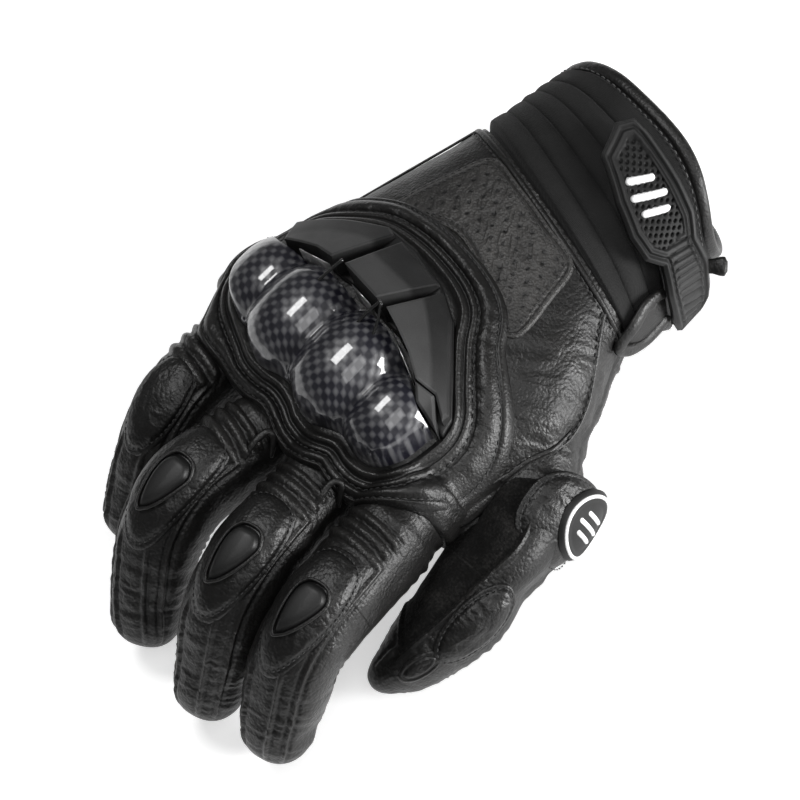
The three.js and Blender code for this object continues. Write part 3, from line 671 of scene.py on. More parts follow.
def moulded(name, tone, roughness, grain=0.5, depth=0.05, warm=0.0, gloss=0.25):
    """Moulded plastic or rubber with a fine spark-eroded texture, paler on raised parts and darker in hollows from
    the relief attribute (a painted highlight and painted shade), and painted shade in its pits.
    """
    s = Shader(name, Specular_IOR_Level=gloss)
    fine = s.noise(grain, 3)
    cloud = s.noise(11, 3)
    relief = s.attribute("relief")
    mixed = s.math("ADD", s.math("MULTIPLY", relief, 0.3), s.math("MULTIPLY", s.math("ADD", cloud, fine), 0.5), True)
    colour = s.ramp(mixed, [(0.1, grey(tone * 0.3, warm)), (0.5, grey(tone, warm)), (0.9, grey(tone * 1.8, warm))])
    # Painted shade: recesses marked by the pit attribute are coloured nearly black.
    colour = s.blend(s.attribute("pit"), colour, grey(tone * 0.08))
    return s.finish(colour, s.spread(cloud, roughness + 0.07, roughness - 0.07), fine, depth)


def thread_material(name, tone):
    s = Shader(name, Specular_IOR_Level=0.4, Sheen_Weight=0.1)
    twist = s.noise(0.25, 2, (1, 3, 1), 0.8)
    cloud = s.noise(6, 2)
    mixed = s.math("MULTIPLY", s.math("ADD", twist, cloud), 0.5)
    colour = s.ramp(mixed, [(0.3, grey(tone * 0.5)), (0.5, grey(tone)), (0.75, grey(tone * 2.0))])
    return s.finish(colour, s.spread(cloud, 0.7, 0.55), twist, 0.08)


def metal_material(name, tone):
    s = Shader(name, Metallic=1.0)
    fine = s.noise(0.3, 3)
    cloud = s.noise(4, 3)
    colour = s.ramp(s.math("ADD", s.math("MULTIPLY", fine, 0.4), s.math("MULTIPLY", cloud, 0.6)),
                    [(0.25, grey(tone * 0.55)), (0.6, grey(tone)), (0.8, grey(tone * 1.3))])
    return s.finish(colour, s.spread(cloud, 0.42, 0.25), fine, 0.02)


def pile_material(name, tone, size):
    """Hook or loop pile."""
    s = Shader(name, Specular_IOR_Level=0.3, Sheen_Weight=0.2)
    tufts = s.cells(size)
    fuzz = s.noise(size * 0.5, 3)
    colour = s.ramp(s.math("ADD", s.math("MULTIPLY", tufts, -0.6), fuzz),
                    [(0.0, grey(tone * 0.3)), (0.3, grey(tone)), (0.6, grey(tone * 2.2))])
    height = s.math("ADD", s.math("MULTIPLY", tufts, -1.0), s.math("MULTIPLY", fuzz, 0.4))
    return s.finish(colour, s.spread(fuzz, 0.95, 0.75), height, size * 0.35)


LEATHER = leather("black_leather", 0.0075, 0.39, 1.1, 0.24)
PADDED_LEATHER = leather("padded_leather", 0.005, 0.38, 1.1, 0.22, 0.6)
SMOOTH_LEATHER = leather("smooth_leather", 0.0075, 0.38, 0.9, 0.16, 0.4)
# The perforated leather has a paler base colour than the rest of the leather: a painted sheen.
PANEL_LEATHER = leather("perforated_leather", 0.036, 0.4, 0.9, 0.32, 0.9)
PALM_LEATHER = leather("palm_leather", 0.014, 0.5, 0.9, 0.12, 0.5)
SUEDE = suede_material("black_suede", 0.0032)
LINING = suede_material("lining_fleece", 0.02)
KNIT = knit_material("stretch_knit", 0.012)
CARBON = carbon_material()
HARD = moulded("charcoal_plastic", 0.019, 0.52, 0.35, 0.025)
# A darker copy of the charcoal plastic for the scoop's base, seen in the grooves and intakes: painted shade.
HARD_SHADE = moulded("groove_plastic", 0.006, 0.45)
GLOSS = moulded("gloss_plastic", 0.02, 0.2, gloss=0.5)
SLIDER = moulded("slider_plastic", 0.011, 0.42, 0.4, 0.03)
RUBBER = moulded("black_rubber", 0.013, 0.55, 0.6, 0.04)
THREAD = thread_material("black_thread", 0.018)
PALE_THREAD = thread_material("grey_thread", 0.06)
METAL = metal_material("fine_steel_mesh", 0.62)
HOOKS = pile_material("hook_pile", 0.01, 0.8)
LOOPS = pile_material("loop_pile", 0.018, 1.1)
MARK = moulded("white_rubber_mark", 0.78, 0.45, 0.6, 0.02)


# ---------------------------------------------------------------- zones round each joint's pivot
BEND_ZONE = 11                     # the zone runs this far on each side of a pivot


def zone(finger, pivot_at):
    """Points before and after a pivot of a stall, in metres."""
    along, _, _ = finger.axes(np.array([pivot_at]))
    pivot = finger.at(np.array([pivot_at]))[0]
    return (pivot - along[0] * BEND_ZONE) * MM, (pivot + along[0] * BEND_ZONE) * MM


def knuckle_blend(piece, finger):
    start, end = zone(finger, finger.knuckle)
    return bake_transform(piece)


def bend_blend(piece, finger):
    start, end = zone(finger, finger.middle)
    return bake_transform(piece)


# ---------------------------------------------------------------- hand skin
def baked(piece):
    """Turns the modifiers of a piece into its mesh."""
    mesh = bpy.data.meshes.new_from_object(piece.evaluated_get(bpy.context.evaluated_depsgraph_get()))
    piece.modifiers.clear()
    old, piece.data = piece.data, mesh
    bpy.data.meshes.remove(old)
    return piece


SKIN_VOXEL = 0.95
HAND_WALL, STALL_WALL, CUFF_WALL, LINING_WALL = 1.3, 1.1, 1.2, 0.7
WEB_BACK = 75                      # the web between the fingers starts at this station

# front edge of the leather between and over the finger roots: x, y
WEB_FRONT = [[-51, -41, -27, -13.5, 0, 14.5, 29, 44, 55], [92, 98.5, 100, 102.5, 100.5, 100.5, 92, 87, 82]]


def hand_shell():
    angle = np.linspace(0, 2 * np.pi, 96, endpoint=False)
    points, faces, base = [], [], 0
    stations = np.array([-14, -6, 2, 10, 20, 32, 44, 56, 68, 76, HAND_END - 1.5, HAND_END])
    rings = [body_point(angle, np.full_like(angle, v), 0.0 if v < HAND_END else -1.5) for v in stations]
    for ring in rings:
        past = (ring[:, 0] > PINKY_SETBACK[0]) & (ring[:, 1] > PINKY_SETBACK[1])
        ring[past, 1] = PINKY_SETBACK[1]
    solids = [(rings, rings[0].mean(0), rings[-1].mean(0))]
    for finger in fingers.values():
        end = finger.knuckle - 9.3
        s = np.linspace(2, end, 10)
        tube = [finger.point(np.full_like(angle, q), angle, 0.35) for q in s]
        solids.append((tube, finger.at(s[:1])[0], finger.at(s[-1:])[0]))
    x = np.linspace(WEB_FRONT[0][0], WEB_FRONT[0][-1], 80)
    reach = np.interp(x, WEB_FRONT[0], WEB_FRONT[1])
    web = []
    for share in np.linspace(0, 1, 12):
        y = WEB_BACK + (reach - WEB_BACK) * share
        top = np.stack([x, y, crown_height(x, y) - 0.35], 1)
        under = np.stack([x, y, np.full_like(x, 14 + 17 * share)], 1)[::-1]
        web.append(np.concatenate([top, under]))
    solids.append((web, web[0].mean(0), web[-1].mean(0)))
    fold = []
    for share in np.linspace(0, 1, 9):
        middle = np.array([-42.0, 56, 27]) * (1 - share) + np.array([-54.5, 85.5, 24.5]) * share
        size = 11 - 4.5 * share**2
        fold.append(np.stack([middle[0] + size * np.cos(angle), middle[1] + 0 * angle,
                              middle[2] + 0.9 * size * np.sin(angle)], 1))
    solids.append((fold, fold[0].mean(0), fold[-1].mean(0)))
    for rings, start, end in solids:
        p, f = closed_rings(rings, start, end)
        faces += [[k + base for k in face] for face in f]
        points.append(p)
        base += len(p)
    skin = make_object("hand_leather", np.concatenate(points), faces, LEATHER)
    merged = skin.modifiers.new("one skin", "REMESH")
    merged.mode = "VOXEL"
    merged.voxel_size = SKIN_VOXEL * MM
    merged.use_smooth_shade = True
    eased = skin.modifiers.new("eased", "SMOOTH")
    eased.factor, eased.iterations = 0.5, 9
    baked(skin)
    bpy.context.view_layer.objects.active = skin
    loose = bmesh.new()
    loose.from_mesh(skin.data)
    whole = loose.verts[:] + loose.edges[:] + loose.faces[:]
    bmesh.ops.bisect_plane(loose, geom=whole, plane_co=Vector((-2.5, WRIST, 0)) * MM,
                           plane_no=Vector((0.26, 1, 0)), clear_inner=True)
    loose.to_mesh(skin.data)
    loose.free()
    p = coordinates(skin)
    normal = np.empty(len(p) * 3)
    skin.data.vertex_normals.foreach_get("vector", normal)
    normal = normal.reshape(-1, 3)
    x, y, z = p.T
    back = ramp(z, 20, 32)
    lumps = 0.35 * noise(p, 13, 1) + 0.16 * noise(p, 4.5, 2)
    turned = np.stack([x * 0.8 + y * 0.6, y * 0.8 - x * 0.6, z], 1)
    creases = 0.3 * (0.6 - np.abs(noise(turned, (12, 3.2, 6), 3)) * 2) * ramp(-x, 22, 40)
    palm = 0.45 * (0.5 - np.abs(noise(p, (14, 3.6, 20), 4)) * 2) * (1 - back)
    side = 3.6 * np.exp(-((y - 66) / 20) ** 2) * ramp(x, 44, 62)
    cord = 0.4 * ridge(z - 25.5 - 0.02 * y, 0.7) * (1 - ramp(np.abs(normal[:, 2]), 0.7, 0.85))
    relief = lumps + creases + palm + cord
    p = p + normal * relief[:, None]
    p[:, 0] += side
    p[:, 2] = np.maximum(p[:, 2], 1.2)
    skin.data.vertices.foreach_set("co", (p * MM).ravel())
    skin.data.polygons.foreach_set("use_smooth", [True] * len(skin.data.polygons))
    skin.data.materials.clear()
    skin.data.materials.append(LEATHER)
    skin.data.materials.append(PALM_LEATHER)
    under = np.array([q.normal.z < -0.35 for q in skin.data.polygons])
    skin.data.polygons.foreach_set("material_index", under.astype(np.int32))
    # The lumps, creases and cord are painted as relief too, which the leather turns into painted shade in the creases
    # and a painted highlight on the lumps.
    paint(skin, "relief", np.clip(relief / 0.8, -1, 1))
    solidify(skin, HAND_WALL)
    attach(skin, "hand")
    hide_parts("back_panel", "palm_panel")
    web_seam(skin)
    return skin


WEB_SEAM = [[-53.5, 67, 38], [-54.8, 58.3, 38.5], [-57.3, 52, 38.5], [-58.5, 47, 37.5], [-58, 41, 36]]


def web_seam(skin):
    """Stitched welt over the fold between thumb and index finger, laid on the finished skin."""
    tree = BVHTree.FromPolygons([q.co[:] for q in skin.data.vertices],
                                [q.vertices[:] for q in skin.data.polygons])
    line = resample(smooth_line(WEB_SEAM), 60)
    found = [tree.find_nearest(Vector(q) * MM) for q in line]
    place = np.array([q[0][:] for q in found]) / MM
    up = np.array([q[1][:] for q in found])
    for _ in range(6):
        place[1:-1] = (place[:-2] + place[1:-1] + place[2:]) / 3
        up[1:-1] = (up[:-2] + up[1:-1] + up[2:]) / 3
    up = unit(up)
    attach(sweep("thumb_web_welt", place + 0.2 * up, 0.8, SMOOTH_LEATHER, flat=0.6, up=up), "hand")
    side = np.cross(np.gradient(place, axis=0), up)
    side = unit(side)
    beside = [tree.find_nearest(Vector(q) * MM) for q in place + 1.7 * side]
    path = np.array([q[0][:] for q in beside]) / MM
    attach(stitch_row("thumb_web_stitches", [(path + 0.15 * up, up, False)], THREAD, length=1.6, pitch=2.4), "hand")


hand_shell()


# ---------------------------------------------------------------- finger stalls
RIBS_FROM, RIBS_TO, RIB_PITCH = 3.2, 16.4, 4.4     # accordion panel, measured from the knuckle pivot
CROWN_TURN = -9                                    # the stalls roll a little to the little finger side
SEAMS = [(23, 4.0), (55, 16.0), (-27, 4.0), (-58, 16.0)]   # degrees from the crown; the first pair start at the pad


def stall_relief(finger, s, angle):
    """Height of ribs, seams and wrinkles over the plain stall."""
    thumb = finger.name == "thumb"
    a, b = finger.half_size(s)
    reach = (a + b) / 2
    turn = from_crown(angle, 0 if thumb else CROWN_TURN)
    from_knuckle, from_middle = s - finger.knuckle, s - finger.middle
    around = np.radians(turn) * reach
    seed = len(finger.name) * 7
    at = np.stack([s + 0 * turn, around, np.full_like(s + 0 * turn, seed * 9.0)], -1)
    end = ramp(finger.length - s, 1.0, 7.0)
    relief = 0.4 * noise(at, (11, 9, 9), seed) * end
    dorsal = window(turn, -52, 52, 7)
    distal = ramp(from_middle, 2, 8) * end
    relief = relief + distal * 0.22 * (0.55 - 2 * np.abs(noise(at, (1.9, 7, 9), seed + 1)))
    relief = relief + 0.12 * noise(at, (3.0, 2.4, 9), seed + 2) * end
    if not thumb:
        ribs = np.abs(np.sin(np.pi * (from_knuckle - RIBS_FROM - 0.03 * turn) / RIB_PITCH)) ** 0.9 - 0.4
        relief = relief + 1.75 * ribs * dorsal * window(from_knuckle, RIBS_FROM, RIBS_TO, 0.6)
    for turned, start in SEAMS:
        if thumb:
            break
        line = (turn - turned) * np.pi / 180 * reach
        where = from_middle if abs(turned) < 40 else from_knuckle
        relief = relief + 0.62 * ridge(line, 0.62) * ramp(where, start - 3, start + 1) * end
    folds = np.cos(2 * np.pi * from_middle / 3.9) * np.exp(-(from_middle / 7) ** 2)
    folds = folds + np.cos(2 * np.pi * from_knuckle / 4.3) * np.exp(-(from_knuckle / 7) ** 2)
    inside = ramp(np.abs(turn), 95, 125)
    beside = np.exp(-(((np.abs(turn) - 90) / 28) ** 2)) * window(from_middle, -12, 18, 6)
    return relief + 0.3 * folds * inside * end + (0 if finger.name in ("thumb", "pinky") else 1.1) * beside


def stall_rings(finger, start, end, inset=0.0, step=0.6, around=150):
    """Rings of a stall with their stations, angles and relief; past the last straight station it rounds off."""
    angle = np.linspace(0, 2 * np.pi, around, endpoint=False)
    tip, point = (19, 0.78) if finger.name == "thumb" else (TIP_ROUND, 0.5)
    straight = min(end, finger.length - tip)
    s = np.linspace(start, straight, max(3, int((straight - start) / step)))
    scale = np.ones_like(s)
    if end > straight:
        curve = np.radians(np.linspace(0, 86, 26)[1:])
        s = np.r_[s, finger.length - tip + tip * np.sin(curve)]
        scale = np.r_[scale, np.cos(curve) ** point]
    grid_s, grid_a = np.meshgrid(s, angle, indexing="ij")
    relief = stall_relief(finger, grid_s, grid_a)
    return grid_s, grid_a, scale[:, None], relief + inset


def stall(name, finger, start, end, material, tuck=(0.0, 0.0), extra=None):
    """One sewn tube of a stall; tuck draws its two ends in so that the next piece laps over them."""
    s, angle, scale, relief = stall_rings(finger, start, end)
    if extra is not None:
        relief = relief + extra(s, angle)
    ends = tuck[0] * (1 - ramp(s - finger.knuckle, -6.0, 0.5)) + tuck[1] * ramp(s - (end - 3.0), 0.0, 2.0)
    rings = finger.point(s, angle, relief - ends, scale)
    points = rings.reshape(-1, 3)
    faces = grid_faces(*s.shape, wrap_columns=True).tolist()
    if end > finger.length - TIP_ROUND:
        last = (s.shape[0] - 1) * s.shape[1]
        points = np.concatenate([points, [rings[-1].mean(0)]])
        faces += [[last + i, last + (i + 1) % s.shape[1], len(points) - 1] for i in range(s.shape[1])]
        relief = np.r_[relief.ravel(), 0]
    piece = make_object(name, points, [f[::-1] for f in faces], material)
    # Ribs, seams and folds are painted as relief: painted shade in their hollows and a painted highlight on their
    # crests.
    paint(piece, "relief", np.clip(relief.ravel() / 0.7, -1, 1))
    return solidify(piece, STALL_WALL)


# ---------------------------------------------------------------- padded pieces, blown up as cloth
PUFF_SCALE = 10                    # the cloth solver works on pads ten times their size
CLOTH_STEPS = 20
SEWN_DEPTH = 0.9                   # the back of a pad lies this far below its seam


def puffed(outline, centre, rise, pressure=4.0, cap=2.2, rings=20):
    """Blows up a flat pad sewn down along its outline. Returns flat points and heights, ring by ring, and the height
    of the centre.
    """
    outline, centre = np.asarray(outline, float), np.asarray(centre, float)
    radii = 1 - (1 - np.linspace(0, 1, rings + 1)[1:]) ** 1.15
    flat = centre + radii[:, None, None] * (outline - centre)
    start = rise * (1 - radii**4)[:, None] * np.ones(len(outline))
    top = np.concatenate([flat, start[..., None]], -1)
    base = np.concatenate([flat, np.full_like(start, -SEWN_DEPTH)[..., None]], -1)[::-1]
    points, faces = closed_rings(np.concatenate([top, base]), [*centre, rise], [*centre, -SEWN_DEPTH])
    pillow = make_object("pillow", points * PUFF_SCALE, faces, None)
    sewn = pillow.vertex_groups.new(name="sewn")
    moving = set(range((rings - 1) * len(outline))) | {len(points) - 2}
    sewn.add([k for k in range(len(points)) if k not in moving], 1.0, "REPLACE")
    cloth = pillow.modifiers.new("cloth", "CLOTH")
    setting = cloth.settings
    setting.quality, setting.mass = 6, 0.3
    setting.tension_stiffness = setting.compression_stiffness = 12
    setting.shear_stiffness, setting.bending_stiffness = 6, 0.6
    setting.use_pressure, setting.uniform_pressure_force = True, pressure
    setting.effector_weights.gravity = 0
    setting.vertex_group_mass, setting.pin_stiffness = "sewn", 5
    cloth.point_cache.frame_start, cloth.point_cache.frame_end = 1, CLOTH_STEPS
    for step in range(1, CLOTH_STEPS + 1):
        bpy.context.scene.frame_set(step)
    done = coordinates(baked(pillow)) / PUFF_SCALE
    bpy.data.objects.remove(pillow)
    bpy.context.scene.frame_set(1)
    move = done - points
    far = np.maximum(np.linalg.norm(move, axis=1, keepdims=True), 1e-9)
    done = points + move * np.minimum(far, cap) / far
    rows = done[: start.size].reshape(*start.shape, 3)
    return rows[..., :2], rows[..., 2], done[len(points) - 2][2]


def pad(name, place, outline, centre, rise, material, seed, wrinkle=0.18, under=-0.9, **how):
    """A sewn pad: the blown-up shape laid on the surface place, with a rolled seam and fine wrinkles."""
    flat, height, core = puffed(outline, centre, rise, **how)
    u, v = flat[..., 0], flat[..., 1]
    d = edge_distance(flat.reshape(-1, 2), np.asarray(outline)).reshape(u.shape)
    at = np.stack([u, v, np.full_like(u, seed)], -1)
    creases = wrinkle * (0.5 - 2 * np.abs(noise(at, (2.6, 2.2, 9), seed))) + 0.25 * noise(at, 7, seed + 1)
    seam = -0.55 * np.exp(-((d - 1.7) / 0.55) ** 2)
    height = height + creases * ramp(d, 0.6, 3.0) + seam
    top = place(u, v, height)
    bottom = place(u, v, np.full_like(u, under))[::-3]
    points, faces = closed_rings(np.concatenate([top, bottom]), place(centre[0], centre[1], core),
                                 place(centre[0], centre[1], under))
    piece = make_object(name, points, faces, material)
    # The creases and seam groove are painted as relief: painted shade in the groove and creases, a painted highlight
    # on the crests.
    relief = np.zeros(len(points))
    relief[: height.size] = (creases + seam + 0.15).ravel()
    paint(piece, "relief", np.clip(relief / 0.5, -1, 1))
    return subdivide(piece)


def outline_stitches(name, place, outline, centre, inset, lift, material=None, **how):
    line = resample(inset_line(outline, centre, inset), 160, closed=True)
    points = place(line[:, 0], line[:, 1], np.full(len(line), lift))
    return stitch_row(name, [(points, normals_on(place, line), True)], material or THREAD, **how)


# ---------------------------------------------------------------- the four fingers
def finger_pad_outline(small):
    corners = [[0, 17], [-4.2, 15], [-9, 9], [-12, 0], [-11.8, -8], [-8.5, -14.5], [-2, -16.8],
               [6, -15.6], [11, -10], [12.4, -1], [9.5, 8], [4.6, 14.6]]
    return resample(smooth_line(np.array(corners) * small, closed=True), 96, closed=True)


SLIDER_LINE = [[0.2, 7.4], [-2.2, 5.0], [-4.6, 0.2], [-5.2, -3.2], [-3.4, -5.6], [0.4, -5.4], [1.9, -3.0], [1.8, 2.6]]
for name in ("index", "middle", "ring", "pinky"):
    finger = fingers[name]
    split = finger.middle - 19.5 if name != "pinky" else finger.middle - 14.5
    upper = stall(f"{name}_accordion_stall", finger, finger.knuckle - 17, split + 3, LEATHER, tuck=(1.6, 0.8))
    knuckle_blend(upper, finger)
    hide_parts(f"{name}_flex_panel", f"{name}_base_stall")
    lower = stall(f"{name}_fingertip_stall", finger, split, finger.length, LEATHER)
    bend_blend(lower, finger)
    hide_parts(f"{name}_joint_panel", f"{name}_tip_stall")
    small = 0.8 if name == "pinky" else 1.0
    outline = finger_pad_outline(small)
    place = finger.surface(finger.middle - (8 if name == "pinky" else 12), 90 + CROWN_TURN + 5)
    cushion = pad(f"{name}_knuckle_cushion", place, outline, [0, 0], 2.5 * small, PADDED_LEATHER, 11 + len(name))
    bend_blend(cushion, finger)
    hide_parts(f"{name}_knuckle_pad")
    sewn = outline_stitches(f"{name}_cushion_stitches", place, outline, [0, 0], 1.7, 0.75, length=1.1, pitch=1.9,
                            radius=0.2)
    bend_blend(sewn, finger)
    if name == "pinky":
        continue
    line = resample(smooth_line(SLIDER_LINE, closed=True), 72, closed=True)

    def slider_height(u, v, r, d):
        return 3.1 + 1.4 * ramp(d, -0.2, 1.3) + 0.4 * (1 - np.abs(u + 1.4) / 4) * ramp(d, 0.4, 2)
    insert = patch(f"{name}_slider_cap", place, line, [-1.6, 0], slider_height, SLIDER, rings=16, under=1.2)
    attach(insert, f"{name}_base")
    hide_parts(f"{name}_slider")
    rim = place((line[:, 0] + 1.6) * 1.14 - 1.6, line[:, 1] * 1.1, np.full(len(line), 3.3))
    welt = sweep(f"{name}_slider_welt", rim, 0.55, SMOOTH_LEATHER, closed=True, up=normals_on(place, line))
    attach(welt, f"{name}_base")

# the gussets between the fingers end in small arched folds at the knuckles: x, y, z
GUSSETS = {
    "middle_to_ring": [[6.4, 115, 49.5], [7, 110.5, 51.5], [6.8, 107, 52.2], [6, 104.4, 52.2], [4.6, 104, 51.2],
                       [3.6, 105.6, 49], [2.8, 108.5, 45.5]],
    "index_to_middle": [[-22.6, 113, 50], [-22, 108.5, 52.2], [-21.8, 105, 53], [-22.6, 102.4, 53.2],
                        [-24, 102, 52.2], [-25, 103.6, 50], [-25.8, 106.5, 46.5]],
}
for name, points in GUSSETS.items():
    line = resample(smooth_line(points), 50)
    wide = 1.15 - 0.5 * np.abs(np.linspace(-1, 1, 50)) ** 3
    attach(sweep(f"gusset_fold_{name}", line, wide, SMOOTH_LEATHER, sides=14, flat=0.8), "hand")

# ---------------------------------------------------------------- thumb
thumb = fingers["thumb"]


SUEDE_END = 40.0                   # suede inner side of the thumb, measured from the knuckle pivot


def suede_edge(from_knuckle):
    """Angle from the crown, in degrees, where the suede meets the leather."""
    return 15 - 7 * ramp(from_knuckle, 2, 26)


def thumb_extra(s, angle):
    """The thumb is fuller towards the index finger, and a raised seam bounds its suede."""
    turn = from_crown(angle)
    a, b = thumb.half_size(s)
    reach = (a + b) / 2
    from_knuckle = s - thumb.knuckle
    inner = np.exp(-(((turn + 80) / 42) ** 2))
    web = (4.6 * np.exp(-(((from_knuckle - 10) / 15) ** 2)) + 2.4 * window(from_knuckle, 22, 48, 8)) * inner
    web = web - 4.2 * np.exp(-(((from_knuckle - 8) / 11) ** 2)) * np.exp(-(((turn - 108) / 45) ** 2))
    line = (turn - suede_edge(from_knuckle)) * np.pi / 180 * reach
    cord = 0.6 * ridge(line, 0.6) * (1 - ramp(from_knuckle, SUEDE_END + 2, SUEDE_END + 5))
    across = window(turn, -150, 8, 3)
    hem = 0.55 * ridge(from_knuckle - SUEDE_END - 0.12 * (turn + 60), 0.6) * across
    short = 0.5 * ridge((turn + 6) * np.pi / 180 * reach, 0.7) * window(from_knuckle, 47, 56, 1)
    return web + cord + hem + short


def lay_suede(piece, s, angle):
    turn = from_crown(angle)
    from_knuckle = s - thumb.knuckle
    inside = (turn < suede_edge(from_knuckle)) & (turn > -150)
    inside &= from_knuckle < SUEDE_END + 0.12 * (turn + 60)
    rows, columns = s.shape
    index = inside[:-1].astype(np.int32).ravel()
    piece.data.materials.append(SUEDE)
    full = np.zeros(len(piece.data.polygons), np.int32)
    full[: (rows - 1) * columns] = index
    piece.data.polygons.foreach_set("material_index", full)


split = (thumb.knuckle + thumb.middle) / 2
upper = stall("thumb_root_stall", thumb, thumb.knuckle - 17, split + 3, LEATHER, (-0.9, 0.8), thumb_extra)
lay_suede(upper, *stall_rings(thumb, thumb.knuckle - 17, split + 3)[:2])
knuckle_blend(upper, thumb)
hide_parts("thumb_flex_panel", "thumb_base_stall")
lower = stall("thumb_tip_glove", thumb, split, thumb.length, LEATHER, (0, 0), thumb_extra)
lay_suede(lower, *stall_rings(thumb, split, thumb.length)[:2])
bend_blend(lower, thumb)
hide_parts("thumb_joint_panel", "thumb_tip_stall")

# padded cup with its rubber disc, on a dome that faces out from the side of the thumb
CUP_CENTRE = np.array([-74.6, 58, 22.6])
CUP_OUT = np.array([-0.98, -0.188, 0.063])
CUP_ALONG = np.array([-0.19, 0.974, -0.123])
CUP_ROUND = [19, 60]               # radius over the thumb, radius along it


def cup_place(u, v, lift):
    """u runs up over the thumb from the middle of the disc and v towards the thumb's tip."""
    u, v, lift = (np.asarray(q, float)[..., None] for q in np.broadcast_arrays(u, v, lift))
    over, along = u / CUP_ROUND[0], v / CUP_ROUND[1]
    up = np.cross(CUP_ALONG, CUP_OUT)
    out = lift * np.cos(over) * np.cos(along) - CUP_ROUND[0] * (1 - np.cos(over)) - CUP_ROUND[1] * (1 - np.cos(along))
    return (CUP_CENTRE + CUP_OUT * out + up * (CUP_ROUND[0] + lift) * np.sin(over)
            + CUP_ALONG * (CUP_ROUND[1] + lift) * np.sin(along))


CUP_MIDDLE = [4.5, 3.0]
cup_line = oval(18.5, 15, 2.3, 96, CUP_MIDDLE)
cup = pad("thumb_cup_cushion", cup_place, cup_line, CUP_MIDDLE, 2.4, PADDED_LEATHER, 31, 0.3, under=-3.0)
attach(cup, "hand")
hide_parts("thumb_knuckle_cup")
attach(outline_stitches("thumb_cup_stitches", cup_place, cup_line, CUP_MIDDLE, 1.7, 1.3, length=1.2, pitch=2.0,
                         radius=0.2), "hand")
DISC_CENTRE = [0.0, 0.0]


def disc_height(u, v, r, d):
    return 2.6 + 1.2 * ramp(d, -0.3, 1.4) - 0.4 * window(r, 0.0, 0.7, 0.03)


disc = patch("thumb_rubber_disc", cup_place, oval(11.2, 11.2, 2, 96, DISC_CENTRE), DISC_CENTRE, disc_height,
             RUBBER, under=1.0)
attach(disc, "hand")
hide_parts("thumb_knuckle_disc")
ring_line = oval(9.4, 9.4, 2, 96, DISC_CENTRE)
ring = sweep("thumb_pale_ring", cup_place(ring_line[:, 0], ring_line[:, 1], np.full(96, 3.7)), 0.6, MARK,
             closed=True, up=normals_on(cup_place, ring_line))
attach(ring, "hand")
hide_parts("thumb_disc_ring")


def bar(name, place, start, end, half_width, lift, thickness, material, body):
    """Flat raised bar on a surface, with rounded ends."""
    start, end = np.array(start, float), np.array(end, float)
    along = (end - start) / np.linalg.norm(end - start)
    side = np.array([-along[1], along[0]])
    turn = np.linspace(-np.pi / 2, np.pi / 2, 8)
    tip = [end + half_width * (np.cos(a) * along + np.sin(a) * side) for a in turn]
    tail = [start - half_width * (np.cos(a) * along + np.sin(a) * side) for a in turn]
    line = resample(np.array(tip + tail), 72, closed=True)
    made = patch(name, place, line, (start + end) / 2,
                 lambda u, v, r, d: lift + thickness * ramp(d, -0.15, 0.5), material, rings=10, under=lift - 0.7)
    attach(made, body)
    return made


for k, (offset, reach) in enumerate(((-3.2, 3.6), (0.0, 5.2), (3.2, 3.6))):
    bar(f"thumb_disc_bar_{k + 1}", cup_place, [DISC_CENTRE[0] - reach, offset],
        [DISC_CENTRE[0] + reach, offset], 0.75, 3.3, 0.5, MARK, "hand")

# long leaf-shaped pad over the thumb joint, and the small patch by its tip
leaf_place = thumb.surface(thumb.knuckle + 26, 143)
leaf = resample(smooth_line([[2, -15.5], [7.5, -10], [9.5, -2], [8, 7], [4, 13], [-1, 15], [-5.5, 11], [-7.6, 3],
                             [-7, -6], [-4, -12.5]], closed=True), 96, closed=True)
joint_pad = pad("thumb_joint_cushion", leaf_place, leaf, [0, 0], 1.9, PADDED_LEATHER, 41, 0.3)
bend_blend(joint_pad, thumb)
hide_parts("thumb_joint_pad")
bend_blend(outline_stitches("thumb_joint_stitches", leaf_place, leaf, [0, 0], 1.6, 0.8, length=1.1, pitch=1.9,
                            radius=0.2), thumb)
tip_place = thumb.surface(thumb.knuckle + 45, 138)
tip_line = oval(4.2, 7.2, 2.1)
tip_patch = pad("thumb_tip_cushion", tip_place, tip_line, [0, 0], 0.9, PADDED_LEATHER, 43, 0.12)
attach(tip_patch, "thumb_tip")
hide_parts("thumb_tip_patch")

# ---------------------------------------------------------------- knuckle armour
armour_line = resample(smooth_line(ARMOUR, closed=True), 440, closed=True)
ARMOUR_CENTRE = np.array([5.0, 66.0])
BED_SHARE = 0.97                   # the cushion under the armour is this much smaller than its outline
bed_line = ARMOUR_CENTRE + (armour_line - ARMOUR_CENTRE) * BED_SHARE
bed = patch("armour_cushion", on_crown, bed_line, ARMOUR_CENTRE,
            lambda u, v, r, d: FOAM_TOP - 1.2 * (1 - ramp(d, 0, 3)), SMOOTH_LEATHER, rings=30)
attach(bed, "hand")
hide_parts("knuckle_foam")

# section of the collar: distance outside the armour line, height above the leather
COLLAR = np.array([[-4.2, 0.5], [-4.1, 2.6], [-2.9, 3.3], [-1.9, 4.0], [-1.0, 4.5], [-0.2, 4.1], [0.4, 3.0],
                   [0.9, 2.7], [1.4, 3.3], [2.1, 3.6], [2.8, 3.3], [3.4, 2.4], [3.9, 2.3], [4.6, 3.0], [6.2, 3.7],
                   [8.0, 3.5], [9.4, 2.5], [10.0, 1.9], [10.6, 2.2], [11.4, 2.0], [12.1, 1.0], [12.6, -0.4],
                   [12.8, -1.0]])
STITCHED_AT = ((3.65, 2.5), (10.0, 2.1))


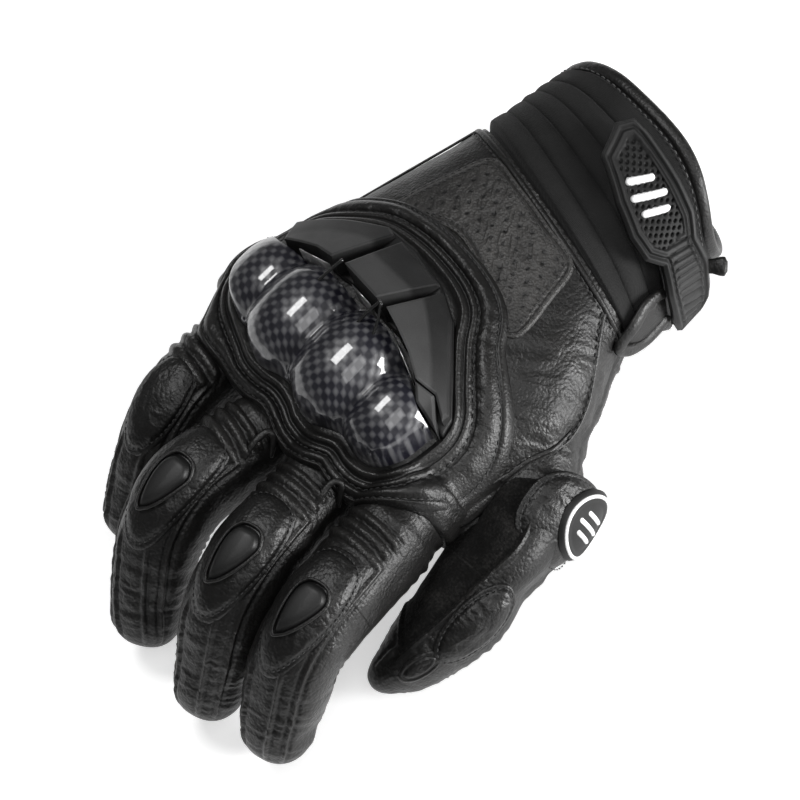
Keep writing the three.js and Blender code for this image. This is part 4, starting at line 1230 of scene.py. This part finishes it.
def collar_piece():
    """Leather collar: a piped edge that hugs the armour, a stitched welt and a puffed outer band."""
    section = resample(smooth_line(COLLAR, per_span=6), 90)
    line = armour_line
    normal = line_normals(line, 3)
    if ((line - ARMOUR_CENTRE) * normal).sum() < 0:
        normal = -normal
    for _ in range(40):
        normal = (normal + np.roll(normal, 1, axis=0) + np.roll(normal, -1, axis=0)) / 3
    normal = unit(normal)
    x0, y0 = line.T
    wide = 1 - 0.5 * ramp(y0, 84, 93) - 0.62 * ramp(x0, 44, 54) * (1 - ramp(y0, 84, 92))
    wide = wide + 0.22 * ramp(-x0, 20, 34) * (1 - ramp(y0, 80, 90)) - 0.25 * (1 - ramp(y0, 30, 42))
    for _ in range(12):
        wide = (wide + np.roll(wide, 1) + np.roll(wide, -1)) / 3
    outside = section[:, 0][None, :]
    reach = np.where(outside > 2.8, 2.8 + (outside - 2.8) * wide[:, None], outside)
    flat = line[:, None] + normal[:, None] * reach[..., None]
    x, y = flat[..., 0], flat[..., 1]
    base = crown_height(np.minimum(x, 59.5), y)
    at = np.stack([x, y, 0 * x], -1)
    sew = np.arange(len(line))[:, None] * line_length(line) / len(line)
    pucker = 0.15 * np.sin(2 * np.pi * sew / 3.1) * window(outside, 3.0, 5.0, 0.6)
    ripple = 0.16 * (0.5 - 2 * np.abs(noise(at, (4.4, 3.4, 9), 51))) + 0.25 * noise(at, 8, 52)
    ripple = ripple * window(outside, 4.2, 9.6, 0.8)
    height = section[:, 1][None, :] + pucker + ripple
    rings = np.stack([x, y, base + height], -1)
    inner = np.stack([x[:, :1], y[:, :1], base[:, :1] - 1.5], -1)
    outer = np.stack([x[:, -1:], y[:, -1:], base[:, -1:] - 1.8], -1)
    rings = np.concatenate([inner, rings, outer], 1)
    points, faces = closed_rings(rings)
    piece = make_object("armour_collar", points, faces, SMOOTH_LEATHER)
    # The section's ridges and grooves, pucker and ripple are painted as relief: painted shade in the grooves, a
    # painted highlight on the ridges.
    ease = section[:, 1] - np.convolve(np.pad(section[:, 1], 9, mode="edge"), np.ones(19) / 19, "valid")
    relief = np.zeros(rings.shape[:2])
    relief[:, 1:-1] = ease[None, :] * 1.3 + pucker + ripple
    paint(piece, "relief", np.clip(relief.ravel(), -1, 1))
    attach(piece, "hand")
    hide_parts("knuckle_collar")
    rows = []
    for distance, lift in STITCHED_AT:
        k = int(np.argmin(np.abs(section[:, 0] - distance)))
        path = np.stack([x[:, k], y[:, k], base[:, k] + lift], -1)
        rows.append((path, np.tile([0.0, 0.0, 1.0], (len(path), 1)), True))
    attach(stitch_row("collar_stitches", rows, THREAD, length=1.6, pitch=2.4, radius=0.22), "hand")


collar_piece()


def rear_line(x):
    """The shell stops in front of the intakes along this line."""
    xs, ys = np.array(SHELL_REAR).T
    return np.interp(x, xs, ys)


def shell_height(x, y):
    """Height of the carbon shell above the foam: four knuckle caps that run into one skirt."""
    heights = [np.full(np.shape(x), SHELL_EDGE - 1.0)]
    for cx, cy, rx, ry, high in BUMPS:
        q = (np.abs(x - cx) / (rx * 1.26)) ** 2.3 + (np.abs(y - cy) / (ry * 1.02)) ** 2.6
        heights.append((high + SHELL_EDGE) * np.maximum(1 - q, 0) ** 0.6)
    top = np.stack(heights)
    return 1.1 * np.log(np.exp(top / 1.1).sum(0)) - 0.3


def shell_piece():
    line = resample(smooth_line(SHELL, closed=True), 440, closed=True)
    line[:, 1] = np.maximum(line[:, 1], rear_line(line[:, 0]))
    line = resample(line, 440, closed=True)

    def height(u, v, r, d):
        rise = shell_height(u, v)
        lip = 0.2 + (rise - 0.2) * np.sqrt(np.maximum(1 - (1 - np.clip(d / 1.3, 0, 1)) ** 2, 0))
        return FOAM_TOP + np.where(v - rear_line(u) < 1.6, rise, lip) - 0.6
    shell = patch("carbon_knuckle_shell", on_crown, line, [8, 77], height, CARBON, rings=120, under=FOAM_TOP - 0.8,
                  edge_power=1.2)
    p = coordinates(shell)
    xs, ys = np.arange(-48, 60, 0.5), np.arange(48, 102, 0.5)
    gx, gy = np.meshgrid(xs, ys, indexing="ij")
    surface = skin_height(np.minimum(gx, 56), np.minimum(gy, 88)) + shell_height(gx, gy)
    for _ in range(16):
        surface[1:-1, 1:-1] = (surface[:-2, 1:-1] + surface[2:, 1:-1] + surface[1:-1, :-2] + surface[1:-1, 2:]) / 4
    slope_x, slope_y = np.gradient(surface, 0.5)
    run_x = np.cumsum(np.minimum(np.sqrt(1 + slope_x**2), 2.2) * 0.5, axis=0)
    run_y = np.cumsum(np.minimum(np.sqrt(1 + slope_y**2), 3.5) * 0.5, axis=1)
    run_x = run_x - run_x[len(xs) // 2]
    i = np.clip((p[:, 0] - xs[0]) / 0.5, 0, len(xs) - 2.001)
    j = np.clip((p[:, 1] - ys[0]) / 0.5, 0, len(ys) - 2.001)
    i0, j0 = i.astype(int), j.astype(int)
    fi, fj = i - i0, j - j0
    for name, field in (("weave_u", run_x), ("weave_v", run_y)):
        paint(shell, name, field[i0, j0] * (1 - fi) * (1 - fj) + field[i0 + 1, j0] * fi * (1 - fj)
              + field[i0, j0 + 1] * (1 - fi) * fj + field[i0 + 1, j0 + 1] * fi * fj)
    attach(shell, "hand")
    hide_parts("knuckle_shell")


shell_piece()


# ---------------------------------------------------------------- scoop
def facet(name, corners, material, drop=0.0):
    """Moulded block with a sloping top through the corners and softly rounded upper edges."""
    corners = np.array(corners, float)
    x, y, high = corners.T
    terms = np.stack([np.ones_like(x), x, y, x * y], 1)
    fit = np.linalg.lstsq(np.concatenate([terms, 0.02 * np.eye(4)]), np.r_[high, np.zeros(4)], rcond=None)[0]

    def height(u, v, r, d):
        top = fit[0] + fit[1] * u + fit[2] * v + fit[3] * u * v
        return FOAM_TOP + 0.3 + np.maximum(top, 2.2) - drop - 0.6 * (1 - ramp(d, -0.25, 0.8))
    line = resample(straight_line(corners[:, :2]), 240, closed=True)
    centre = (line.max(0) + line.min(0)) / 2 if len(corners) == 4 else line.mean(0)
    piece = patch(name, on_back, line, centre, height, material, rings=36, under=FOAM_TOP - 0.5, edge_power=1.6)
    piece.data.set_sharp_from_angle(angle=math.radians(50))
    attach(piece, "hand")
    return piece


def wire_grid(x, y, half, slant):
    """Points and faces of a small upright wire mesh."""
    wires = [([x + q, y + slant * q, 0.6], [x + q, y + slant * q, 9.5]) for q in np.arange(-half, half + 0.1, 0.85)]
    wires += [([x - half, y - slant * half, q], [x + half, y + slant * half, q]) for q in np.arange(1.0, 9.6, 0.85)]
    turn = np.linspace(0, 2 * np.pi, 6, endpoint=False)
    ground = crown_height(np.array([x]), np.array([y])) + FOAM_TOP
    points, faces, base = [], [], 0
    for a, b in wires:
        a, b = np.array(a), np.array(b)
        along = (b - a) / np.linalg.norm(b - a)
        side = np.cross(along, [-slant, 1, 0])
        other = np.cross(side, along)
        rod = [q + 0.17 * (np.cos(turn)[:, None] * side + np.sin(turn)[:, None] * other) for q in (a, b)]
        p, f = closed_rings(rod, a, b)
        faces += [[q + base for q in face] for face in f]
        points.append(p + [0, 0, ground[0]])
        base += len(p)
    return np.concatenate(points), faces


def scoop_pieces():
    line = resample(straight_line(SCOOP_BASE), 300, closed=True)
    floor = patch("scoop_base", on_back, line, [6, 46],
                  lambda u, v, r, d: FOAM_TOP + 2.2 - 0.5 * (1 - ramp(d, 0, 0.8)),
                  HARD_SHADE, rings=30, under=FOAM_TOP - 0.5)
    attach(floor, "hand")
    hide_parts("scoop_cover")
    for name, corners in SCOOP_FACETS.items():
        facet(f"scoop_facet_{name}", corners, HARD)
    for k, (x, y, half, slant) in enumerate(VENTS):
        mesh = make_object(f"intake_mesh_{k + 1}", *wire_grid(x, y, half, slant), METAL)
        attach(mesh, "hand")
        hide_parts(f"scoop_vent_{k + 1}")
    for k, path in enumerate(([[17.4, 54.4, 16], [18.8, 58, 14.4], [20.5, 62, 12], [22, 66, 9]],
                              [[-3.2, 57.2, 18], [-1.6, 60.5, 16], [0, 64.5, 13.2], [1.5, 69, 10]],
                              [[-3.6, 57.6, 17.8], [-5.5, 62, 14.8], [-6.2, 66.5, 11.5]])):
        path = smooth_line(path)
        path[:, 2] += crown_height(path[:, 0], path[:, 1]) + FOAM_TOP
        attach(sweep(f"intake_rail_{k + 1}", resample(path, 24), 0.5, GLOSS), "hand")


scoop_pieces()


# ---------------------------------------------------------------- perforated panel
PANEL_GRAIN = np.array([-0.62, 0.785])              # its creases and hole rows run this way
HOLE_PITCH = 4.2


def panel_piece():
    line = resample(smooth_line(PANEL, closed=True), 320, closed=True)
    centre = np.array([3.0, 9.0])
    pits = []

    def height(u, v, r, d):
        u, v, d = np.asarray(u), np.asarray(v), np.asarray(d)
        along = u * PANEL_GRAIN[0] + v * PANEL_GRAIN[1]
        across = u * PANEL_GRAIN[1] - v * PANEL_GRAIN[0]
        at = np.stack([across, along, 0 * u + 3], -1)
        at = at + np.stack([0.8 * noise(at, 8, 61), 0 * u, 0 * u], -1)
        creases = 0.2 * (0.5 - 2 * np.abs(noise(at, (1.15, 4.5, 9), 62))) + 0.14 * noise(at, (3.0, 12, 9), 63)
        row = np.round(across / HOLE_PITCH)
        shift = 0.5 * (row % 2)
        from_hole = np.hypot(across - row * HOLE_PITCH,
                             (along / HOLE_PITCH - shift - np.round(along / HOLE_PITCH - shift)) * HOLE_PITCH)
        hole = np.exp(-((from_hole / 0.75) ** 4)) * ramp(d, 3.4, 4.2)
        pits.append(hole)
        fold = 0.12 * window(d, 0.2, 1.6, 0.4) - 0.3 * np.exp(-((d - 1.9) / 0.35) ** 2)
        return 0.75 + creases * ramp(d, 1.5, 4.5) + fold - 0.7 * (1 - ramp(d, -0.3, 0.5)) - 0.12 * hole
    panel = patch("perforated_back_panel", on_back, line, centre, height, PANEL_LEATHER, rings=120, edge_power=1.1)
    # The holes are painted near black through the pit attribute: painted shade in place of open holes.
    dark = np.zeros(len(panel.data.vertices))
    dark[: pits[0].size] = pits[0].ravel()
    paint(panel, "pit", dark)
    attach(panel, "hand")
    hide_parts("perforated_panel")
    for k, inset in enumerate((1.0, 2.7)):
        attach(outline_stitches(f"panel_stitches_{k + 1}", on_back, line, centre, inset, 0.95, length=1.5, pitch=2.3,
                                 radius=0.22), "hand")


panel_piece()


# ---------------------------------------------------------------- seams drawn over the hand
def hand_seam(name, points, width=0.75, lift=0.35, sewn=1.6, material=None):
    """Raised welt along a line given as (distance round from the crown, station), with stitches beside it."""
    line = resample(smooth_line(points), 90)
    up = normals_on(on_cuff, line)
    welt = sweep(f"{name}_welt", on_cuff(line[:, 0], line[:, 1], np.full(90, lift)), width,
                 material or SMOOTH_LEATHER, flat=0.6, up=up)
    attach(welt, "hand")
    if sewn:
        side = np.gradient(line, axis=0)
        side = np.stack([-side[:, 1], side[:, 0]], 1)
        beside = line + unit(side) * sewn
        path = on_cuff(beside[:, 0], beside[:, 1], np.full(90, 0.45))
        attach(stitch_row(f"{name}_stitches", [(path, up, False)], THREAD, length=1.6, pitch=2.4), "hand")


hand_seam("little_finger_side_seam", [[-41, -3], [-43, 12], [-47, 28], [-52, 44], [-57, 60]])
hand_seam("thumb_side_seam", [[37, -2], [44, 12], [50, 28], [52, 42], [50, 56], [47, 70]])
hand_seam("wrist_hem", [[-46, -2.6], [-30, -2.6], [-10, -2.6], [10, -2.6], [30, -2.6], [48, -2.6], [57, -2.6]],
          1.0, 0.3)

# ---------------------------------------------------------------- cuff
CUFF_RIBS = 5


def cuff_end(angle):
    """Station of the cuff's edge: full over the back, with rounded corners at the two sides."""
    return -48.4 + 8.6 * np.abs(np.cos(angle)) ** 2.9


def cuff_pieces():
    angle = np.linspace(0, 2 * np.pi, 260, endpoint=False)
    share = np.linspace(0, 1, 190)[:, None]
    end = cuff_end(angle)[None, :]
    v = 3.0 + (end + 1.0 - 3.0) * share
    a = np.broadcast_to(angle, v.shape)
    turn = from_crown(a)
    spread = (-6.0 - v) / (-6.0 - end - 3.0)
    ribs = np.abs(np.sin(np.pi * CUFF_RIBS * np.clip(spread, 0, 1))) ** 0.22
    back = window(turn, -86, 86, 12)
    at = np.stack([a * 30, v, 0 * v], -1)
    cloth = 0.3 * noise(at, 12, 71) + 0.12 * noise(at, (9, 2.2, 9), 72)
    lift = 1.1 * ribs * back + 0.5 * (1 - back) + cloth
    tuck = ramp(v, -7.5, -4.5)
    lift = lift * (1 - tuck) - 2.2 * tuck
    rings = body_point(a, v, lift)
    faces = grid_faces(*v.shape, wrap_columns=True)
    cuff = make_object("stretch_cuff", rings.reshape(-1, 3), faces.tolist(), KNIT)
    # Rib valleys are painted as relief: the knit turns them into painted shade, and the rib crests into a painted
    # highlight.
    paint(cuff, "relief", np.clip(((ribs - 0.85) * 3.0 * back + cloth) * (1 - tuck), -1, 1).ravel())
    solidify(cuff, CUFF_WALL)
    wrist_blend(cuff)
    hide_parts("wrist_stretch_panel", "cuff_sleeve")

    inner_v = 4.0 + (end + 0.8 - 4.0) * share[::4]
    inner_a = np.broadcast_to(angle, inner_v.shape)
    at = np.stack([inner_a * 30, inner_v, 0 * inner_v], -1)
    inside = body_point(inner_a, inner_v, -3.0 + 0.3 * noise(at, 7, 73))
    lining = make_object("cuff_fleece_lining", inside.reshape(-1, 3),
                         grid_faces(*inner_v.shape, wrap_columns=True).tolist(), LINING)
    solidify(lining, LINING_WALL)
    wrist_blend(lining)
    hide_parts("cuff_lining")

    edge = body_point(angle, cuff_end(angle), -0.7)
    up = body_point(angle, cuff_end(angle), 1.0) - body_point(angle, cuff_end(angle), 0.0)
    up = unit(up)
    turn_angle = np.linspace(0, 2 * np.pi, 16, endpoint=False)
    forward = np.array([0.25, 0.97, 0])
    section = [(2.3 * np.sign(math.cos(t)) * abs(math.cos(t)) ** 0.8, 1.9 * math.sin(t)) for t in turn_angle]
    rings = np.stack([edge + forward * p + up * q for p, q in section], 1)
    points, faces = closed_rings(rings)
    points = points + 0.16 * noise(points, (2.6, 5, 5), 74)[:, None] * np.repeat(up, 16, axis=0)
    binding = make_object("cuff_leather_binding", points, faces, SMOOTH_LEATHER)
    subdivide(binding)
    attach(binding, "cuff")
    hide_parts("cuff_binding")
    sewn = body_point(angle, cuff_end(angle) + 2.9, 1.0)
    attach(stitch_row("binding_stitches", [(sewn, up, True)], PALE_THREAD, length=1.7, pitch=2.6, radius=0.22),
            "cuff")


def wrist_blend(piece):
    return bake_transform(piece)


cuff_pieces()


# ---------------------------------------------------------------- closure
def flat_piece(name, corners, centre, low, high, material, body, node, relief=None, rings=40, sharp=True):
    line = straight_line(corners) if sharp else smooth_line(corners, closed=True)
    line = resample(line, 300, closed=True)

    def height(u, v, r, d):
        rise = high - 0.7 * (1 - ramp(d, -0.3, 0.9))
        return rise + (relief(u, v, d) if relief else 0.12 * noise(np.stack([u, v, 0 * u], -1), 4, 81))
    piece = patch(name, on_cuff, line, centre, height, material, rings=rings, under=low, edge_power=1.0)
    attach(piece, body)
    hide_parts(node)
    return piece, line


def tab_relief(u, v, d):
    """Two ridges round the edge, a recess of small diamonds, and slanted ribs where the tab bends."""
    frame_lines = 0.5 * np.exp(-((d - 1.1) / 0.45) ** 2) + 0.42 * np.exp(-((d - 2.7) / 0.42) ** 2)
    frame_lines = frame_lines - 0.35 * np.exp(-((d - 1.9) / 0.4) ** 2)
    body_part = 1 - ramp(u, 34.0, 35.5)
    field = ramp(d, 3.6, 4.1) * body_part
    p, q = (u + v) / 2.5, (u - v) / 2.5
    dots = np.exp(-(((p - np.round(p)) ** 2 + (q - np.round(q)) ** 2) / 0.06) ** 1.5)
    slant = (u + 0.45 * (v + 28)) / 2.9
    ribs = np.exp(-(((slant - np.round(slant)) / 0.16) ** 2)) * (1 - body_part) * ramp(d, 1.9, 2.4)
    return frame_lines - field * (0.45 + 0.75 * dots) - 0.7 * ribs


def closure_pieces():
    flat_piece("closure_loop_field", LOOP_FIELD, [20, -33], 0.6, 1.9, LOOPS, "cuff", "loop_field")
    flat_piece("closure_hook_patch", HOOK_PATCH, [20, -33], 2.15, 2.85, HOOKS, "strap", "hook_patch")
    _, line = flat_piece("closure_strap", STRAP, [34, -28.6], 3.0, 4.8, SMOOTH_LEATHER, "strap", "wrist_strap")
    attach(outline_stitches("strap_stitches", on_cuff, line, np.array([34, -28.6]), 1.4, 4.9, length=1.4, pitch=2.2,
                             radius=0.2), "strap")
    tab, line = flat_piece("closure_rubber_tab", TAB, [31, -30.5], 4.9, 8.1, RUBBER, "strap", "closure_tab",
                           tab_relief, rings=110)
    # The tab's recesses, taken from its relief, are painted dark through the pit attribute: painted shade.
    pits = np.zeros(len(tab.data.vertices))
    relief = np.empty(len(pits), np.float32)
    tab.data.attributes["relief"].data.foreach_get("value", relief)
    paint(tab, "pit", np.clip(-relief * 1.4 - 0.25, 0, 1) * 0.8)
    marks = (([12.6, -28.4], [16.0, -34.0]), ([16.8, -26.8], [21.4, -34.4]), ([22.0, -27.0], [25.4, -32.6]))
    for k, (start, end) in enumerate(marks):
        made = bar(f"tab_mark_{k + 1}", on_cuff, start, end, 1.15, 7.3, 0.75, MARK, "strap")
        if k == 0:
            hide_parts("tab_emblem")
    loop = resample(smooth_line(KEEPER_LOOP, closed=True), 120, closed=True)
    wide = 2.1 + 0.25 * noise(loop, 4, 83)
    keeper = sweep("keeper_loop", loop, wide, SMOOTH_LEATHER, closed=True, sides=20, flat=0.62,
                   up=np.tile([-0.95, 0.1, 0.3], (120, 1)))
    paint(keeper, "relief", noise(coordinates(keeper), (3, 1.5, 3), 84))
    wrist_blend(keeper)
    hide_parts("strap_keeper")
    backing = resample(smooth_line(KEEPER_BACK), 40)
    wide = 6.0 - 2.6 * np.abs(np.linspace(-1, 1, 40)) ** 3
    strip = sweep("keeper_backing", backing, wide, SMOOTH_LEATHER, sides=18, flat=0.2,
                  up=np.tile([-0.98, 0.1, 0.15], (40, 1)))
    wrist_blend(strip)
    line = resample(np.array(TAG_LINE), 30)
    share = np.linspace(0, 1, 30)
    wide = 3.0 - 0.7 * window(share, 0.35, 0.7, 0.15) - 1.4 * ramp(share, 0.92, 1.0)
    tag = sweep("strap_pull_tag", line, wide, SMOOTH_LEATHER, sides=20, flat=0.4,
                up=np.tile([-0.4, 0.2, 0.9], (30, 1)))
    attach(tag, "cuff")
    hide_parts("strap_tag")


closure_pieces()


# ---------------------------------------------------------------- palm patches
def palm_patches():
    heel = oval(27, 14, 2.6, 120, (2, 9))
    heel[:, 1] -= 0.22 * heel[:, 0]
    grip = oval(36, 9, 2.6, 120, (2, 74))
    for name, node, line, centre in (("palm_heel_cushion", "palm_patch", heel, [2, 8.6]),
                                     ("palm_grip_cushion", "palm_grip_patch", grip, [2, 74])):
        centre = np.array(centre, float)
        radii = 1 - (1 - np.linspace(0, 1, 31)[1:]) ** 1.4
        flat = centre + radii[:, None, None] * (line - centre)
        x, y = flat[..., 0], flat[..., 1]
        d = edge_distance(flat.reshape(-1, 2), line).reshape(x.shape)
        at = np.stack([x, y, 0 * x], -1)
        grips = 0.35 * np.abs(np.sin(np.pi * x / 5)) * ramp(d, 2, 3.5)
        low = skin_height(x, y, -1) * (1 - ramp(d, -0.5, 2.2)) * 0.75
        z = np.maximum(low + grips + 0.1 * (1 + noise(at, 5, 91)) * ramp(d, 1, 2), 0.0)
        bottom = np.stack([x, y, z], -1)
        top = np.stack([x, y, skin_height(x, y, -1) + 0.9], -1)[::-3]
        points, faces = closed_rings(np.concatenate([bottom, top]), [*centre, 0.05],
                                     [*centre, skin_height(centre[0], centre[1], -1) + 0.9])
        piece = make_object(name, points, faces, SUEDE)
        relief = np.zeros(len(points))
        relief[: z.size] = -(z - z.mean()).ravel()
        paint(piece, "relief", np.clip(relief, -1, 1))
        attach(piece, "hand")
        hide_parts(node)
        inner = resample(inset_line(line, centre, 2.6), 160, closed=True)
        path = np.stack([inner[:, 0], inner[:, 1], np.full(160, 0.12)], 1)
        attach(stitch_row(f"{name}_stitches", [(path, np.tile([0.0, 0.0, -1.0], (160, 1)), True)], THREAD,
                           length=1.8, pitch=2.8), "hand")


palm_patches()

# ---------------------------------------------------------------- stage, light and camera
CAMERA_RIGHT = Vector((-0.679, -0.703, -0.211))
CAMERA_UP = Vector((0.570, -0.686, 0.453))
CAMERA_BACK = Vector((-0.464, 0.187, 0.866))
TARGET = Vector((-5.5, 66.2, 30.7)) * MM
CAMERA_DISTANCE = 1.1


def camera():
    lens = bpy.data.cameras.new("camera")
    lens.lens, lens.sensor_width = 162, 36
    lens.clip_start, lens.clip_end = 0.01, 50
    seen = bpy.data.objects.new("camera", lens)
    turn = Matrix((CAMERA_RIGHT, CAMERA_UP, CAMERA_BACK)).transposed()
    seen.matrix_world = Matrix.Translation(TARGET + CAMERA_BACK * CAMERA_DISTANCE) @ turn.to_4x4()
    bpy.context.scene.collection.objects.link(seen)
    bpy.context.scene.camera = seen


def softbox(name, right, up, back, size, watts):
    """Area lamp placed along the camera's right, up and back directions, in metres, aimed at the glove."""
    lamp = bpy.data.lights.new(name, "AREA")
    lamp.shape, lamp.size, lamp.size_y, lamp.energy = "RECTANGLE", size[0], size[1], watts
    box = bpy.data.objects.new(name, lamp)
    box.location = TARGET + CAMERA_RIGHT * right + CAMERA_UP * up + CAMERA_BACK * back
    box.rotation_mode = "QUATERNION"
    box.rotation_quaternion = (TARGET - box.location).to_track_quat("-Z", "Y")
    bpy.context.scene.collection.objects.link(box)


def stage_material():
    s = Shader("paper_sweep", Specular_IOR_Level=0.1)
    cloud = s.noise(300, 2)
    colour = s.ramp(cloud, [(0.3, (0.88, 0.88, 0.88)), (0.7, (0.93, 0.93, 0.93))])
    made = s.finish(colour, s.spread(cloud, 0.9, 0.95), cloud, 0.01)
    shader = made.node_tree.nodes["Principled BSDF"]
    shader.inputs["Emission Color"].default_value = (1, 1, 1, 1)
    shader.inputs["Emission Strength"].default_value = 0.5
    return made


def studio():
    corners = [[-4000, -4000, -0.6], [4000, -4000, -0.6], [4000, 4000, -0.6], [-4000, 4000, -0.6]]
    floor = make_object("floor", corners, [[0, 1, 2, 3]], stage_material())
    world = bpy.data.worlds.new("studio")
    world.use_nodes = True
    world.node_tree.nodes["Background"].inputs["Color"].default_value = (1, 1, 1, 1)
    world.node_tree.nodes["Background"].inputs["Strength"].default_value = 0.08
    bpy.context.scene.world = world
    bpy.context.scene.view_settings.view_transform = "Standard"
    softbox("key", -0.45, 0.7, 0.8, (0.4, 0.3), 6)
    softbox("side", 0.95, -0.1, 0.5, (0.3, 0.8), 22)
    softbox("top", 0.15, 0.2, 1.7, (0.8, 0.8), 6)


camera()
studio()
